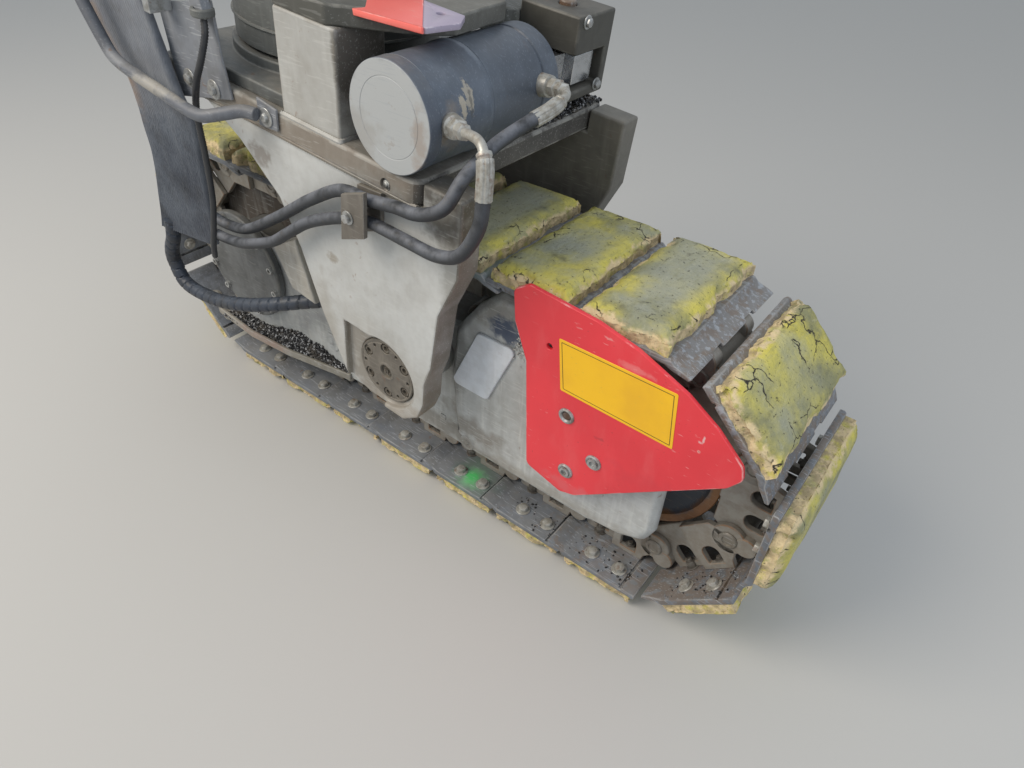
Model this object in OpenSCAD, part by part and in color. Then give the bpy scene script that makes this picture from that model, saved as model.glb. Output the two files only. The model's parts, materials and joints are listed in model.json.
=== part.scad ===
// Crawler track unit of a cold milling machine: a fixed track loop, a yoke that rocks on a
// trunnion over it, a column that steers on the yoke, and the cylinder that turns it.
// Origin: on the ground under the middle of the track. +X towards the guard, +Z up,
// -Y the outer side of the machine.

/* [Chain and shoes] */
// Distance between two chain pins
pitch = 171.45; // [160:0.01:180]
// Shoes on each straight run
run_links = 7; // [5:1:9]
// Width of the shoes and pads across the track
shoe_width = 300; // [260:1:320]
// Thickness of a steel shoe plate
shoe_thick = 12; // [8:1:16]
// Seam between two shoe plates
shoe_seam = 3; // [2:0.5:6]
// How far each shoe sits ahead of its pins
shoe_lead = 14; // [8:1:20]
// Height of a plastic pad
pad_thick = 32; // [24:1:40]
// Length of a pad along the track
pad_length = 150; // [120:1:150]
// Distance from the chain's pins to the ground
pin_height = 103; // [100:1:110]
// Height of the link rails above the pins
rail_rise = 38; // [34:1:40]
// Outer width over the two link rows
chain_width = 140; // [130:1:150]
// Thickness of a link
link_thick = 24; // [20:1:28]
// Radius of a chain bushing
bushing_r = 29; // [26:1:31]
// Radius of a link's round ends
link_boss_r = 31; // [28:1:34]
// Radius of a chain pin
chain_pin_r = 17; // [14:1:20]

/* [Wheels and rollers] */
// Thickness of the idler wheel
idler_width = 112; // [100:1:120]
// Thickness of the drive sprocket
sprocket_width = 60; // [50:1:64]
// Radius of the sprocket's tooth tips
tooth_r = 236; // [230:1:240]
// Number of bottom rollers
roller_count = 4; // [3:1:4]
// Radius of a bottom roller's tread
roller_r = 62; // [56:1:66]
// Radius of a roller's shaft
roller_shaft_r = 20; // [16:1:24]
// Radius of the idler's axle
idler_axle_r = 40; // [30:1:50]
// Radius of the drive hub inside the sprocket
hub_r = 90; // [80:1:100]
// Radius of the two carrier rollers under the top run
carrier_r = 34; // [30:1:36]
// Radius of the drive motor's housing
motor_r = 132; // [120:1:140]

/* [Track frame] */
// Half the width over the frame's side plates
frame_half = 112; // [108:1:118]
// Thickness of a frame side plate
frame_plate = 20; // [16:1:24]
// Height of the lower edge of the side plates
frame_low = 124; // [100:1:140]
// How far the casings stand out of the side plates
casing_deep = 24; // [16:1:28]
// Height of the box between the side plates
core_tall = 135; // [110:1:136]
// Distance from the track's middle plane to the guard's inner face
guard_y = 160; // [156:1:170]
// Thickness of the guard plate
guard_thick = 8; // [6:1:10]

/* [Yoke] */
// Trunnion's place along the track
pivot_x = 76; // [60:1:90]
// Height of the trunnion
pivot_z = 355; // [340:1:370]
// Lean of the yoke towards the guard as it stands
yoke_lean = 5.4; // [0:0.1:8]
// Distance from the middle plane to a leg's outer face
leg_out = 240; // [236:1:250]
// Thickness of a leg
leg_thick = 50; // [40:1:52]
// Height of the saddle's underside above the trunnion
saddle_low = 378; // [370:1:390]
// Thickness of the saddle plate
saddle_thick = 40; // [30:1:50]
// Radius of the trunnion shaft
trunnion_r = 45; // [35:1:50]
// Radius of the bolted flange on a leg
flange_r = 67; // [60:1:72]
// Depth of the flange's seat in the leg
flange_deep = 20; // [18:1:24]

/* [Column and cylinder] */
// Distance from the trunnion back to the column's axis
column_back = 345; // [330:1:360]
// Radius of the column
column_r = 178; // [160:1:185]
// Height of the column's drum
column_tall = 200; // [180:1:260]
// Radius of the king pin
king_r = 60; // [50:1:80]
// Place of the cylinder's axis ahead of the trunnion
barrel_x = 37; // [30:1:44]
// Height of the cylinder's axis above the trunnion
barrel_z = 497; // [496:1:500]
// Radius of the cylinder barrel
barrel_r = 76; // [60:1:77]
// Inner end of the cylinder
barrel_in = 40; // [30:1:44]
// Radius of the piston rod
rod_r = 30; // [24:1:36]
// Radius of the rod's pin
rod_pin_r = 14; // [10:1:16]
// Distance from the middle plane to the rod's pin
rod_pin_y = 146; // [140:1:150]
// Underside of the upper plate above the trunnion
upper_low = 575; // [574:1:580]
// Thickness of the upper plate
upper_thick = 28; // [24:1:34]

/* [Hoses and guards] */
// Radius of the two cylinder hoses
hose_r = 13; // [11:0.5:14]
// Radius of the wrapped motor hose
wrapped_r = 15; // [12:0.5:16]
// Radius of the thin corrugated conduit
conduit_r = 6; // [5:0.5:7]
// Radius of the round guide bar
bar_r = 10.5; // [9:0.5:12]
// Thickness of the flat hose sleeve
sleeve_thick = 30; // [26:1:30]

/* [Hidden] */
$fn = 64;

// Turn of the chain at each pin on a wheel
turn = 45;
// Gap between pieces that are seated on each other
fit = 0.3;
// Running clearance of a pin in its bore
run = 0.05;
// Clearance between moving pieces
clear = 5;
// Radius of rounded plate corners
corner_r = 16;
// Depth and radius of the leg's recess around its flange
recess_deep = 12;
recess_r = 76;
// Slope of the lug bracket's red plate
lug_slope = 22;
// Half the height of a link's waist
link_waist = 20;
// Distance from a pin to the end of the link's rail and foot
rail_short = 20;
// How far a chain pin stands out of the links
pin_proud = 4;
wheel_x = (run_links - 1) * pitch / 2;
pin_circle = pitch / (2 * sin(turn / 2));
apothem = pin_circle * cos(turn / 2);
wheel_z = pin_height + apothem;
pin_over_shoe = pin_height - pad_thick - shoe_thick;
leg_in = leg_out - leg_thick;
saddle_top = saddle_low + saddle_thick;
idler_r = apothem - rail_rise - fit;
frame_in = frame_half - frame_plate;
roller_z = pin_height + rail_rise + fit + roller_r;
function reach(r) = sqrt(pow(r + roller_r + clear, 2) - pow(wheel_z - roller_z, 2));
roller_first = reach(tooth_r) - wheel_x;
roller_step = (wheel_x - reach(idler_r) - roller_first) / (roller_count - 1);
ROLLER_X = [for (i = [0:roller_count - 1]) roller_first + i * roller_step];
core_low = roller_z + roller_r + clear;
swivel_top = saddle_top + 39;
saddle_half = leg_out + 6;
barrel_out = leg_out + 15;
// Bracket around the rod's head: two ears and the wall behind them
bracket_x = -22;
bracket_y = 98;
bracket_long = 117;
bracket_back = 187;
ear_thick = 16;
ear_low = 468;
ear_gap = 58;
bracket_tall = 132;
head_half = 24;
slot_half = rod_pin_r + 18.5;

function link_row(n) = [for (i = [0:n - 1]) (i - (n - 1) / 2) * pitch];
function wrap_mid(x, a) = [x + apothem * sin(a), wheel_z - apothem * cos(a), a];
// Each row: x and z of a link's middle between its pins, and the angle that it runs at
LINKS = concat(
    [for (x = link_row(run_links)) [x, pin_height, 0]],
    [for (a = [turn:turn:180 - turn]) wrap_mid(wheel_x, a)],
    [for (x = link_row(run_links)) [-x, wheel_z + apothem, 180]],
    [for (a = [180 + turn:turn:360 - turn]) wrap_mid(-wheel_x, a)]);

module at_links() {
    for (l = LINKS) translate([l[0], 0, l[1]]) rotate([0, -l[2], 0]) children();
}
module both_sides() {
    children();
    mirror([0, 1, 0]) children();
}
// Turns an outline drawn in x and z into a plate from y0 to y1
module plate_xz(y0, y1) {
    translate([0, y1, 0]) rotate([90, 0, 0]) linear_extrude(y1 - y0) children();
}
module bar_y(r, y0, y1, sides = 64) {
    translate([0, y0, 0]) rotate([-90, 0, 0]) cylinder(r = r, h = y1 - y0, $fn = sides);
}
module rounded(r = corner_r) offset(r = r, $fn = 24) offset(delta = -r) children();
module in_yoke() {
    translate([pivot_x, 0, pivot_z]) rotate([0, yoke_lean, 0]) children();
}

// One side plate of a link: the end behind lies inside the next link's end ahead
module link_plate(y0, y1, end) plate_xz(y0, y1) {
    translate([end * pitch / 2, 0]) circle(link_boss_r, $fn = 10);
    translate([end > 0 ? 0 : -pitch / 2, -link_waist]) square([pitch / 2, 2 * link_waist]);
    translate([rail_short - pitch / 2, 0]) square([pitch - 2 * rail_short, rail_rise]);
    translate([rail_short - pitch / 2, -pin_over_shoe]) square([pitch - 2 * rail_short, pin_over_shoe]);
}
module track_chain() color("dimgray") {
    out = chain_width / 2;
    mid = out - link_thick / 2;
    at_links() {
        both_sides() {
            link_plate(out - link_thick, mid, -1);
            link_plate(mid, out, 1);
        }
        translate([-pitch / 2, 0, 0]) {
            bar_y(bushing_r, link_thick - out, out - link_thick, 10);
            bar_y(chain_pin_r, -out - pin_proud, out + pin_proud, 8);
        }
    }
}
module track_shoes() color("slategray") {
    at_links() translate([shoe_lead - (pitch - shoe_seam) / 2, -shoe_width / 2, -pin_height + pad_thick])
        cube([pitch - shoe_seam, shoe_width, shoe_thick]);
}
module track_pads() color("darkkhaki") {
    at_links() translate([shoe_lead - pad_length / 2, -shoe_width / 2, -pin_height])
        cube([pad_length, shoe_width, pad_thick]);
}
module idler_wheel() color("saddlebrown") translate([wheel_x, 0, wheel_z]) difference() {
    bar_y(idler_r, -idler_width / 2, idler_width / 2);
    bar_y(idler_axle_r + fit, -idler_width, idler_width);
}
module idler_axle() color("gray") translate([wheel_x, 0, wheel_z])
    bar_y(idler_axle_r, fit - frame_in, frame_in - fit);
module drive_sprocket() color("gray") translate([-wheel_x, 0, wheel_z]) difference() {
    bar_y(tooth_r, -sprocket_width / 2, sprocket_width / 2);
    for (a = [turn / 2:turn:360]) rotate([0, a, 0]) {
        translate([pin_circle, 0, 0]) bar_y(bushing_r + 1, -sprocket_width, sprocket_width, 32);
        translate([pin_circle + 36, 0, 0]) rotate([0, turn, 0]) cube([62, 2 * sprocket_width, 62], true);
    }
    bar_y(hub_r + fit, -sprocket_width, sprocket_width);
}
module drive_motor() color("gray") translate([-wheel_x, 0, wheel_z]) {
    bar_y(hub_r, -frame_half - 20, frame_half + 20);
    both_sides() bar_y(motor_r, frame_half + fit, frame_half + 20);
    bar_y(hub_r + 10, frame_half + 20, frame_half + 95);
}
module bottom_rollers() color("dimgray") for (x = ROLLER_X) translate([x, 0, roller_z]) difference() {
    bar_y(roller_r, 12 - frame_in, frame_in - 12);
    bar_y(roller_shaft_r + fit, -frame_half, frame_half);
}
module roller_shafts() color("gray") for (x = ROLLER_X) translate([x, 0, roller_z])
    bar_y(roller_shaft_r, fit - frame_in, frame_in - fit);
module carrier_rollers() color("dimgray") for (x = [-pitch, pitch * 1.1])
    translate([x, 0, wheel_z + apothem - rail_rise - fit - carrier_r])
        bar_y(carrier_r, fit - frame_in, frame_in - fit);
module frame_core() color("darkgray") difference() {
    translate([-230, fit - frame_in, core_low]) cube([530, 2 * frame_in - 2 * fit, core_tall]);
    translate([pivot_x, 0, pivot_z]) bar_y(trunnion_r + fit, -200, 200);
}
// Outline of a frame side plate in x and z
SIDE = [[-560, frame_low], [471, frame_low], [560, 150], [600, 250], [590, 330], [540, 430], [470, 480],
    [380, 515], [240, 515], [196, 440], [120, 424], [-330, 424], [-420, 400], [-610, 400],
    [-640, 310], [-620, 200]];
// Outline of the casing that bulges out of it around the idler's end
CASING = [[156, 180], [205, 146], [481, 148], [552, 156], [597, 175], [612, 210], [612, 325],
    [540, 440], [440, 520], [300, 556], [262, 556], [212, 510], [160, 440], [146, 330]];
casing_y = frame_half + casing_deep;
module side_plate() {
    difference() {
        plate_xz(frame_half - frame_plate, frame_half) polygon(SIDE);
        translate([pivot_x, 0, pivot_z]) bar_y(trunnion_r + fit, 0, 300);
        translate([-wheel_x, 0, wheel_z]) bar_y(hub_r + fit, 0, 300);
    }
    hull() {
        plate_xz(frame_half - 1, casing_y - casing_deep / 2) rounded() polygon(CASING);
        plate_xz(frame_half, casing_y) offset(delta = -casing_deep / 2) rounded() polygon(CASING);
    }
}
module frame_side_outer() color("darkgray") mirror([0, 1, 0]) side_plate();
module frame_side_inner() color("darkgray") side_plate();
// Tray beside the frame that catches what falls off the track: outline in x and y, height
tray_z = 122;
tray_plate = 8;
tray_rim = 18;
TRAY = [[-665, 0], [-655, -36], [-503, -48], [-371, -39], [-278, -23], [-185, -7], [-185, 0]];
module frame_ledge() color("rosybrown") translate([0, -frame_half - fit, tray_z]) {
    linear_extrude(tray_plate) polygon(TRAY);
    linear_extrude(tray_rim) difference() {
        polygon(TRAY);
        translate([0, tray_plate]) polygon(TRAY);
    }
}
module frame_cover() color("silver") plate_xz(-casing_y - 6, -casing_y)
    rounded(12) polygon([[156, 320], [222, 462], [308, 464], [244, 318]]);
// Guard bolts: x and z
GUARD_BOLTS = [[435, 410], [496, 341], [445, 287]];
module guard_spacers() color("gray") {
    for (b = GUARD_BOLTS) translate([b[0], 0, b[1]]) bar_y(22, fit - guard_y, -casing_y);
}
// Guard outline: x, z
GUARD = [[316, 604], [344, 623], [470, 611], [539, 594], [624, 558], [677, 524], [724, 481],
    [730, 458], [712, 431], [468, 238], [437, 228], [361, 250], [355, 351], [347, 480], [321, 547]];
module guard_plate() color("crimson") {
    plate_xz(-guard_y - guard_thick, -guard_y) rounded(14) polygon(GUARD);
}
module trunnion_shaft() color("gray") translate([pivot_x, 0, pivot_z])
    bar_y(trunnion_r, -leg_out + flange_deep + clear, leg_out - flange_deep - clear);
module trunnion_collars() color("gray") translate([pivot_x, 0, pivot_z]) both_sides() difference() {
    bar_y(trunnion_r + 18, frame_half + fit, leg_in - clear);
    bar_y(trunnion_r + run, 0, leg_out);
}

// Outline of a leg in the yoke's own x and z
LEG = [[88, 378], [88, 418], [162, 418], [162, 290], [129, 205], [118, 85], [104, 38], [103, -14],
    [90, -55], [52, -86], [-50, -88], [-94, -78], [-161, 56], [-207, 175], [-251, 256], [-341, 327],
    [-440, 378]];
module leg() difference() {
    plate_xz(leg_in, leg_out) polygon(LEG);
    bar_y(trunnion_r + run, 0, 400);
    bar_y(flange_r + fit, leg_out - flange_deep, 400);
    plate_xz(leg_out - recess_deep, 400) {
        circle(recess_r);
        translate([-98, -120]) square([98, 188]);
    }
}
module leg_outer() color("silver") in_yoke() mirror([0, 1, 0]) leg();
module leg_inner() color("silver") in_yoke() leg();
module flange() bar_y(flange_r, leg_out - flange_deep, leg_out - recess_deep + 3);
module flange_outer() color("gray") in_yoke() mirror([0, 1, 0]) flange();
module flange_inner() color("gray") in_yoke() flange();
module leg_rib() color("silver") in_yoke() {
    plate_xz(-leg_out + 8, -leg_in) polygon([[-302, 129], [-257, 54], [-190, 50], [-232, 175]]);
    plate_xz(-leg_in - 10, -leg_in) polygon([[-257, 54], [-162, 56], [-208, 175], [-240, 175]]);
}
module saddle_plate() color("lightgray") in_yoke()
    translate([0, 0, saddle_low]) linear_extrude(saddle_thick)
        rounded(24) translate([-540, -saddle_half]) square([625, 2 * saddle_half]);
module swivel_plate() color("silver") in_yoke() {
    swivel_half = saddle_half - 16;
    translate([-530, -swivel_half, saddle_top]) cube([314, 2 * swivel_half, 22]);
    translate([-column_back, 0, saddle_top + 22]) cylinder(r = column_r + 8, h = 17);
}
module king_pin() color("gray") in_yoke()
    translate([-column_back, 0, swivel_top]) cylinder(r = king_r, h = 150);
module post() color("lightgray") in_yoke()
    translate([-212, -leg_out, saddle_top]) cube([132, 96, upper_low - saddle_top]);
module upper_plate() color("lightgray") in_yoke()
    translate([0, 0, upper_low]) linear_extrude(upper_thick)
        polygon([[-212, -leg_out], [-100, -leg_out], [6, -154], [30, -115], [22, 2], [-61, 105], [-120, 105],
            [-120, -60], [-212, -150]]);
lug_z = upper_low + upper_thick;
lug_thick = 8;
lug_bend = -5;
module lug_bracket() color("salmon") in_yoke() {
    translate([0, 0, lug_z]) linear_extrude(lug_thick) difference() {
        rounded(8) polygon([[-25, -126], [55, -129], [73, -160], [60, -213], [-25, -212]]);
        translate([32, -152]) circle(6.5);
    }
    translate([lug_bend, 0, lug_z]) rotate([0, lug_slope, 0]) linear_extrude(lug_thick)
        polygon([[0, -126], [-31, -124], [-54, -137], [-94, -210], [0, -212]]);
}

module column_drum() color("gray") in_yoke()
    translate([-column_back, 0, swivel_top + clear]) difference() {
        cylinder(r = column_r, h = column_tall);
        translate([0, 0, -1]) cylinder(r = king_r + run, h = 151);
        for (a = [0:30:330]) rotate(a) translate([145, 0, column_tall - 40]) cylinder(r = 8.5, h = 50);
    }
module steering_arm() color("gray") in_yoke() difference() {
    translate([0, 0, 530]) linear_extrude(38)
        polygon([[-240, -75], [-150, 0], [-22, 95], [-22, 200], [-170, 190], [-260, 150]]);
    translate([-column_back, 0, 500]) cylinder(r = column_r + fit, h = 100);
}
module rod_bracket() color("gray") in_yoke() difference() {
    translate([bracket_x + fit, bracket_y, ear_low - ear_thick]) cube([bracket_long, 105, bracket_tall]);
    translate([-300, 0, ear_low]) cube([600, bracket_back, ear_gap]);
    translate([barrel_x, rod_pin_y, 400]) cylinder(r = rod_pin_r + fit, h = 300);
}
module rod_pin() color("gray") in_yoke()
    translate([barrel_x, rod_pin_y, ear_low - ear_thick]) cylinder(r = rod_pin_r, h = bracket_tall + 6);
module cylinder_barrel() color("slategray") in_yoke() translate([barrel_x, 0, barrel_z])
    difference() {
        union() {
            bar_y(barrel_r, 24 - barrel_out, barrel_in);
            bar_y(barrel_r + 2, -134, -124);
        }
        bar_y(rod_r + run, -200, 100);
    }
module cylinder_cap() color("lightslategray") in_yoke() translate([barrel_x, 0, barrel_z])
    bar_y(barrel_r + 1, -barrel_out, 24 - barrel_out);
module cylinder_cradle() color("gray") in_yoke() difference() {
    for (y = [-215, -30]) translate([-50, y, saddle_top]) cube([110, 50, 40]);
    translate([barrel_x, 0, barrel_z]) bar_y(barrel_r + fit, -300, 100);
}
module piston_rod() color("silver") in_yoke() difference() {
    union() {
        translate([barrel_x, 0, barrel_z]) bar_y(rod_r, -150, bracket_y - 2 * clear);
        translate([barrel_x - 26, bracket_y - 2 * clear, barrel_z - head_half])
            cube([52, 40, 2 * head_half]);
        translate([barrel_x - slot_half - 14, rod_pin_y - 28, barrel_z - head_half])
            cube([2 * slot_half + 28, 56, 2 * head_half]);
    }
    translate([barrel_x - slot_half, rod_pin_y - rod_pin_r - 1.5, 0])
        cube([2 * slot_half, 2 * rod_pin_r + 3, 900]);
}

// Unit vector, tangent and side direction along a route of points
function unit(v) = v / norm(v);
function tangent(p, i) = unit(p[min(i + 1, len(p) - 1)] - p[max(i - 1, 0)]);
function side_way(p, i) = i == 0 ? unit(cross(tangent(p, 0), [0.1, 0.2, 1]))
    : let(t = tangent(p, i), s = side_way(p, i - 1)) unit(s - (s * t) * t);
// A round tube swept along a route, one ring of corners at each point
module tube(p, r, n = 10) {
    ring = [for (i = [0:len(p) - 1]) let(t = tangent(p, i), s = side_way(p, i), u = cross(t, s))
        for (k = [0:n - 1]) p[i] + r * (cos(k * 360 / n) * s + sin(k * 360 / n) * u)];
    sides = [for (i = [0:len(p) - 2]) for (k = [0:n - 1]) let(m = (k + 1) % n)
        [i * n + k, (i + 1) * n + k, (i + 1) * n + m, i * n + m]];
    caps = [[for (k = [0:n - 1]) k], [for (k = [n - 1:-1:0]) (len(p) - 1) * n + k]];
    polyhedron(ring, concat(sides, caps));
}
// Line that the hoses run along, outside the leg
hose_line = -leg_out - 22;
// Routes in the yoke's own frame: x, y from the hoses' line, z
function on_line(p) = [for (q = p) q + [0, hose_line, 0]];
PORT_NEAR = on_line([[114, 47, 504], [151, 27, 514], [188, 12, 521], [209, 0, 513], [218, -6, 492],
    [222, -10, 462]]);
HOSE_NEAR = on_line([[222, -10, 461.7], [220, -13, 419], [193, -13, 367], [149, -10, 343], [92, -6, 336],
    [38, -3, 332], [-2, 0, 326], [-66, 0, 305], [-142, -2, 264], [-195, -5, 222],
    [-247, -8, 180], [-329, -8, 138], [-395, 0, 112], [-440, 0, 105]]);
PORT_FAR = on_line([[113, 254, 511], [136, 252, 515], [162, 240, 520], [176, 217, 521], [178, 182, 513]]);
HOSE_FAR = on_line([[178, 181.7, 513], [167, 132, 498], [157, 82, 478], [158, 26, 452], [150, -1, 415],
    [105, -2, 386], [58, -2, 378], [0, 0, 364], [-61, 0, 355], [-136, 2, 307],
    [-187, 5, 268], [-238, 8, 229], [-339, 9, 158], [-400, 4, 142], [-445, 0, 145]]);
GUIDE = on_line([[-250, 0, 408], [-275, -8, 407], [-301, -28, 399], [-335, -44, 388], [-400, -48, 386],
    [-475, -48, 381], [-540, -48, 402], [-578, -48, 429], [-601, -48, 462], [-628, -48, 500],
    [-640, -48, 530], [-642, -42, 560], [-632, -28, 582], [-605, -14, 592], [-560, -8, 598],
    [-510, -8, 602], [-470.3, -8, 602]]);
CONDUIT = on_line([[-352, 0, 522], [-347, -6, 500], [-352, -18, 462], [-368, -23, 425],
    [-384, -23, 372], [-384, -23, 295], [-388, -23, 213], [-396, -28, 150], [-402, -32, 110],
    [-420, -24, 74], [-445, -8, 95]]);
WRAPPED = on_line([[-590, -8, 75], [-600, -8, 30], [-625, -6, -15], [-632, -3, -55], [-600, -3, -98],
    [-500, 0, -88], [-400, 7, -52], [-320, 27, -18], [-255, 59, 8], [-200, 86, 28],
    [-160, 93, 46], [-128, 93, 60]]);
// Cross-sections of the flat sleeve, from the top down: left x and z, right x and z
SLEEVE = [[-686, 525, -500, 570], [-663, 471, -481, 515], [-587, 344, -404, 402], [-561, 222, -392, 268],
    [-607, 39, -418, 93]];
sleeve_y = hose_line - 23;
strap_thick = 6;
plate_front = -saddle_half - 6;
bundle_y = sleeve_y + sleeve_thick / 2;

module port_fittings() color("gray") in_yoke() {
    tube(PORT_NEAR, hose_r + 1);
    tube(PORT_FAR, hose_r + 1);
}
module hose_near() color("dimgray") in_yoke() tube(HOSE_NEAR, hose_r);
module hose_far() color("dimgray") in_yoke() tube(HOSE_FAR, hose_r);
module guide_bar() color("slategray") in_yoke() tube(GUIDE, bar_r);
module conduit() color("black") in_yoke() tube(CONDUIT, conduit_r, 8);
module wrapped_hose() color("darkslategray") in_yoke() tube(WRAPPED, wrapped_r);
module hose_sleeve() color("darkslategray") in_yoke() for (i = [0:len(SLEEVE) - 2]) hull()
    for (s = [SLEEVE[i], SLEEVE[i + 1]]) for (e = [[s[0], s[1], 1], [s[2], s[3], -1]])
        translate([e[0] + e[2] * sleeve_thick / 2, bundle_y, e[1]]) sphere(sleeve_thick / 2, $fn = 10);
module sleeve_clamp() color("gray") in_yoke() {
    plate_xz(sleeve_y - strap_thick, sleeve_y - fit)
        polygon([[-694, 512], [-452, 570], [-452, 596], [-694, 538]]);
    plate_xz(sleeve_y - strap_thick, plate_front - fit)
        polygon([[-470, 507], [-452, 507], [-452, 612], [-470, 612]]);
}
module bolted_plate() color("silver") in_yoke() {
    plate_xz(plate_front, -saddle_half - fit)
        polygon([[-345, 548], [-496, 510], [-480, 361], [-328, 402], [-339, 459]]);
    plate_xz(plate_front - 18, plate_front) polygon([[-372, 525], [-336, 525], [-345, 556], [-372, 556]]);
}
module bar_bracket() color("slategray") in_yoke()
    plate_xz(bar_r + hose_line, -saddle_half - fit)
        polygon([[-262, 384], [-216, 388], [-214, 424], [-262, 430]]);
module hose_clamp() color("silver") in_yoke() {
    clamp_back = hose_line - hose_r;
    plate_xz(hose_line + hose_r + fit, -leg_out - fit)
        polygon([[-38, 370], [13, 375], [11, 310], [-41, 286]]);
    plate_xz(clamp_back - 8, clamp_back) polygon([[-36, 366], [13, 387], [11, 310], [-41, 286]]);
    translate([-18, 0, 341]) bar_y(5.5, clamp_back, -leg_out - fit);
}
module hose_coupling() color("gray") in_yoke()
    translate([-127.7, fit - leg_in, 44]) cube([33, 37, 34]);

track_chain();
track_shoes();
track_pads();
idler_wheel();
idler_axle();
drive_sprocket();
drive_motor();
bottom_rollers();
roller_shafts();
carrier_rollers();
frame_core();
frame_side_outer();
frame_side_inner();
frame_ledge();
frame_cover();
guard_spacers();
guard_plate();
trunnion_shaft();
trunnion_collars();
leg_outer();
leg_inner();
flange_outer();
flange_inner();
leg_rib();
saddle_plate();
swivel_plate();
king_pin();
post();
upper_plate();
lug_bracket();
column_drum();
steering_arm();
rod_bracket();
rod_pin();
cylinder_barrel();
cylinder_cap();
cylinder_cradle();
piston_rod();
port_fittings();
hose_near();
hose_far();
hose_clamp();
guide_bar();
bar_bracket();
bolted_plate();
hose_sleeve();
sleeve_clamp();
conduit();
wrapped_hose();
hose_coupling();
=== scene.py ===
"""Looks of one crawler track unit of a cold milling machine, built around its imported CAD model.

Everything is in metres in the CAD's own frame: origin on the ground under the middle of the
track, +X towards the guard, +Z up, -Y the outer side of the machine. Places of marks and of
routes are given in millimetres, as part.scad gives them.
"""

import json
import logging
import math
import random
from dataclasses import dataclass
from enum import Enum
from typing import Callable

import bmesh
import bpy
from mathutils import Matrix, Vector, noise
from mathutils.bvhtree import BVHTree


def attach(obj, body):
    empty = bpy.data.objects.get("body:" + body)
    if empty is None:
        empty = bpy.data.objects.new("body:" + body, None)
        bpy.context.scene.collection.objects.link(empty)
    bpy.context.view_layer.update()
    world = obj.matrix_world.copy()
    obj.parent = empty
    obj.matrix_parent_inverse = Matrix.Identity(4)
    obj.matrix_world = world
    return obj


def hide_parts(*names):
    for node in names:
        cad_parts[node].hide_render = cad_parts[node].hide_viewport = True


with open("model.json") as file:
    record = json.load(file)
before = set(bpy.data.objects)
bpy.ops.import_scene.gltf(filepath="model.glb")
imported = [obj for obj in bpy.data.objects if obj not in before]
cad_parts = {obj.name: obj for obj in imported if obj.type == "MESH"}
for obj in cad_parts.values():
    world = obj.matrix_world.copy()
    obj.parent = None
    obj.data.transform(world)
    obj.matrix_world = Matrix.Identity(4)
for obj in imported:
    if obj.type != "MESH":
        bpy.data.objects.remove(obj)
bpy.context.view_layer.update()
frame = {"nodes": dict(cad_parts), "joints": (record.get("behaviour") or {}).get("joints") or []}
LOG = logging.getLogger("track_unit")
MM = 0.001
IMAGE_SIZE = (1024, 768)
MIX_UNDER, MIX_OVER, MIX_RESULT = 6, 7, 2  # colour sockets of a Mix node

Point = tuple[float, float, float]
Outline = list[tuple[float, float]]
Colour = tuple[float, float, float, float]
Verts = list[bmesh.types.BMVert]
Socket = bpy.types.NodeSocket
Material = bpy.types.Material


class Body(Enum):
    """The CAD bodies that pieces ride on."""

    TRACK = "track"
    YOKE = "yoke"
    HEAD = "head"
    ROD = "rod"


# Places from the frame


def joint(name: str) -> dict:
    """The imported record's entry of one joint, with pos_m and axis in the row frame."""
    return next(entry for entry in frame["joints"] if entry["name"] == name)


@dataclass(frozen=True)
class YokeFrame:
    """The yoke's own frame, upright on its trunnion, and how it leans in the row frame."""

    pivot: Vector
    lean: float

    @classmethod
    def from_frame(cls) -> "YokeFrame":
        """Reads the trunnion's place and the lean from the joints."""
        axis = Vector(joint("steering")["axis"])
        return cls(Vector(joint("oscillation")["pos_m"]), math.atan2(axis.x, axis.z))

    def matrix(self) -> Matrix:
        """Takes a point in the yoke's frame to the row frame."""
        return Matrix.Translation(self.pivot) @ Matrix.Rotation(self.lean, 4, "Y")

    def route(self, points: tuple[Point, ...]) -> list[Vector]:
        """Takes a route in millimetres in the yoke's frame to metres in the row frame."""
        place = self.matrix()
        return [place @ (Vector(point) * MM) for point in points]


YOKE = YokeFrame.from_frame()


def about_y(turn: float, place: Point | Vector = (0.0, 0.0, 0.0)) -> Matrix:
    """A turn about the Y axis, in radians, and then a move to a place."""
    return Matrix.Translation(Vector(place)) @ Matrix.Rotation(turn, 4, "Y")


def outward(place: Point | Vector, side: int = -1) -> Matrix:
    """Puts a part drawn along its own Z on a face that looks along -Y, or along +Y with side 1."""
    return Matrix.Translation(Vector(place)) @ Matrix.Rotation(-side * math.pi / 2, 4, "X")


def upright(place: Point) -> Matrix:
    """Stands a part that is turned about its own Y upright in the yoke's frame, at a place in metres."""
    return YOKE.matrix() @ Matrix.Translation(place) @ Matrix.Rotation(math.pi / 2, 4, "X")


def on_yoke(x: float, y: float, z: float) -> Matrix:
    """Puts a part drawn along its own Z on a face of the yoke that looks along -Y, in millimetres."""
    return YOKE.matrix() @ outward(Vector((x, y, z)) * MM)


def placed(name: str, data: bpy.types.ID) -> bpy.types.Object:
    """Makes an object of a mesh, lamp or camera and puts it in the scene."""
    made = bpy.data.objects.new(name, data)
    bpy.context.scene.collection.objects.link(made)
    return made


# Shapes


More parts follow.
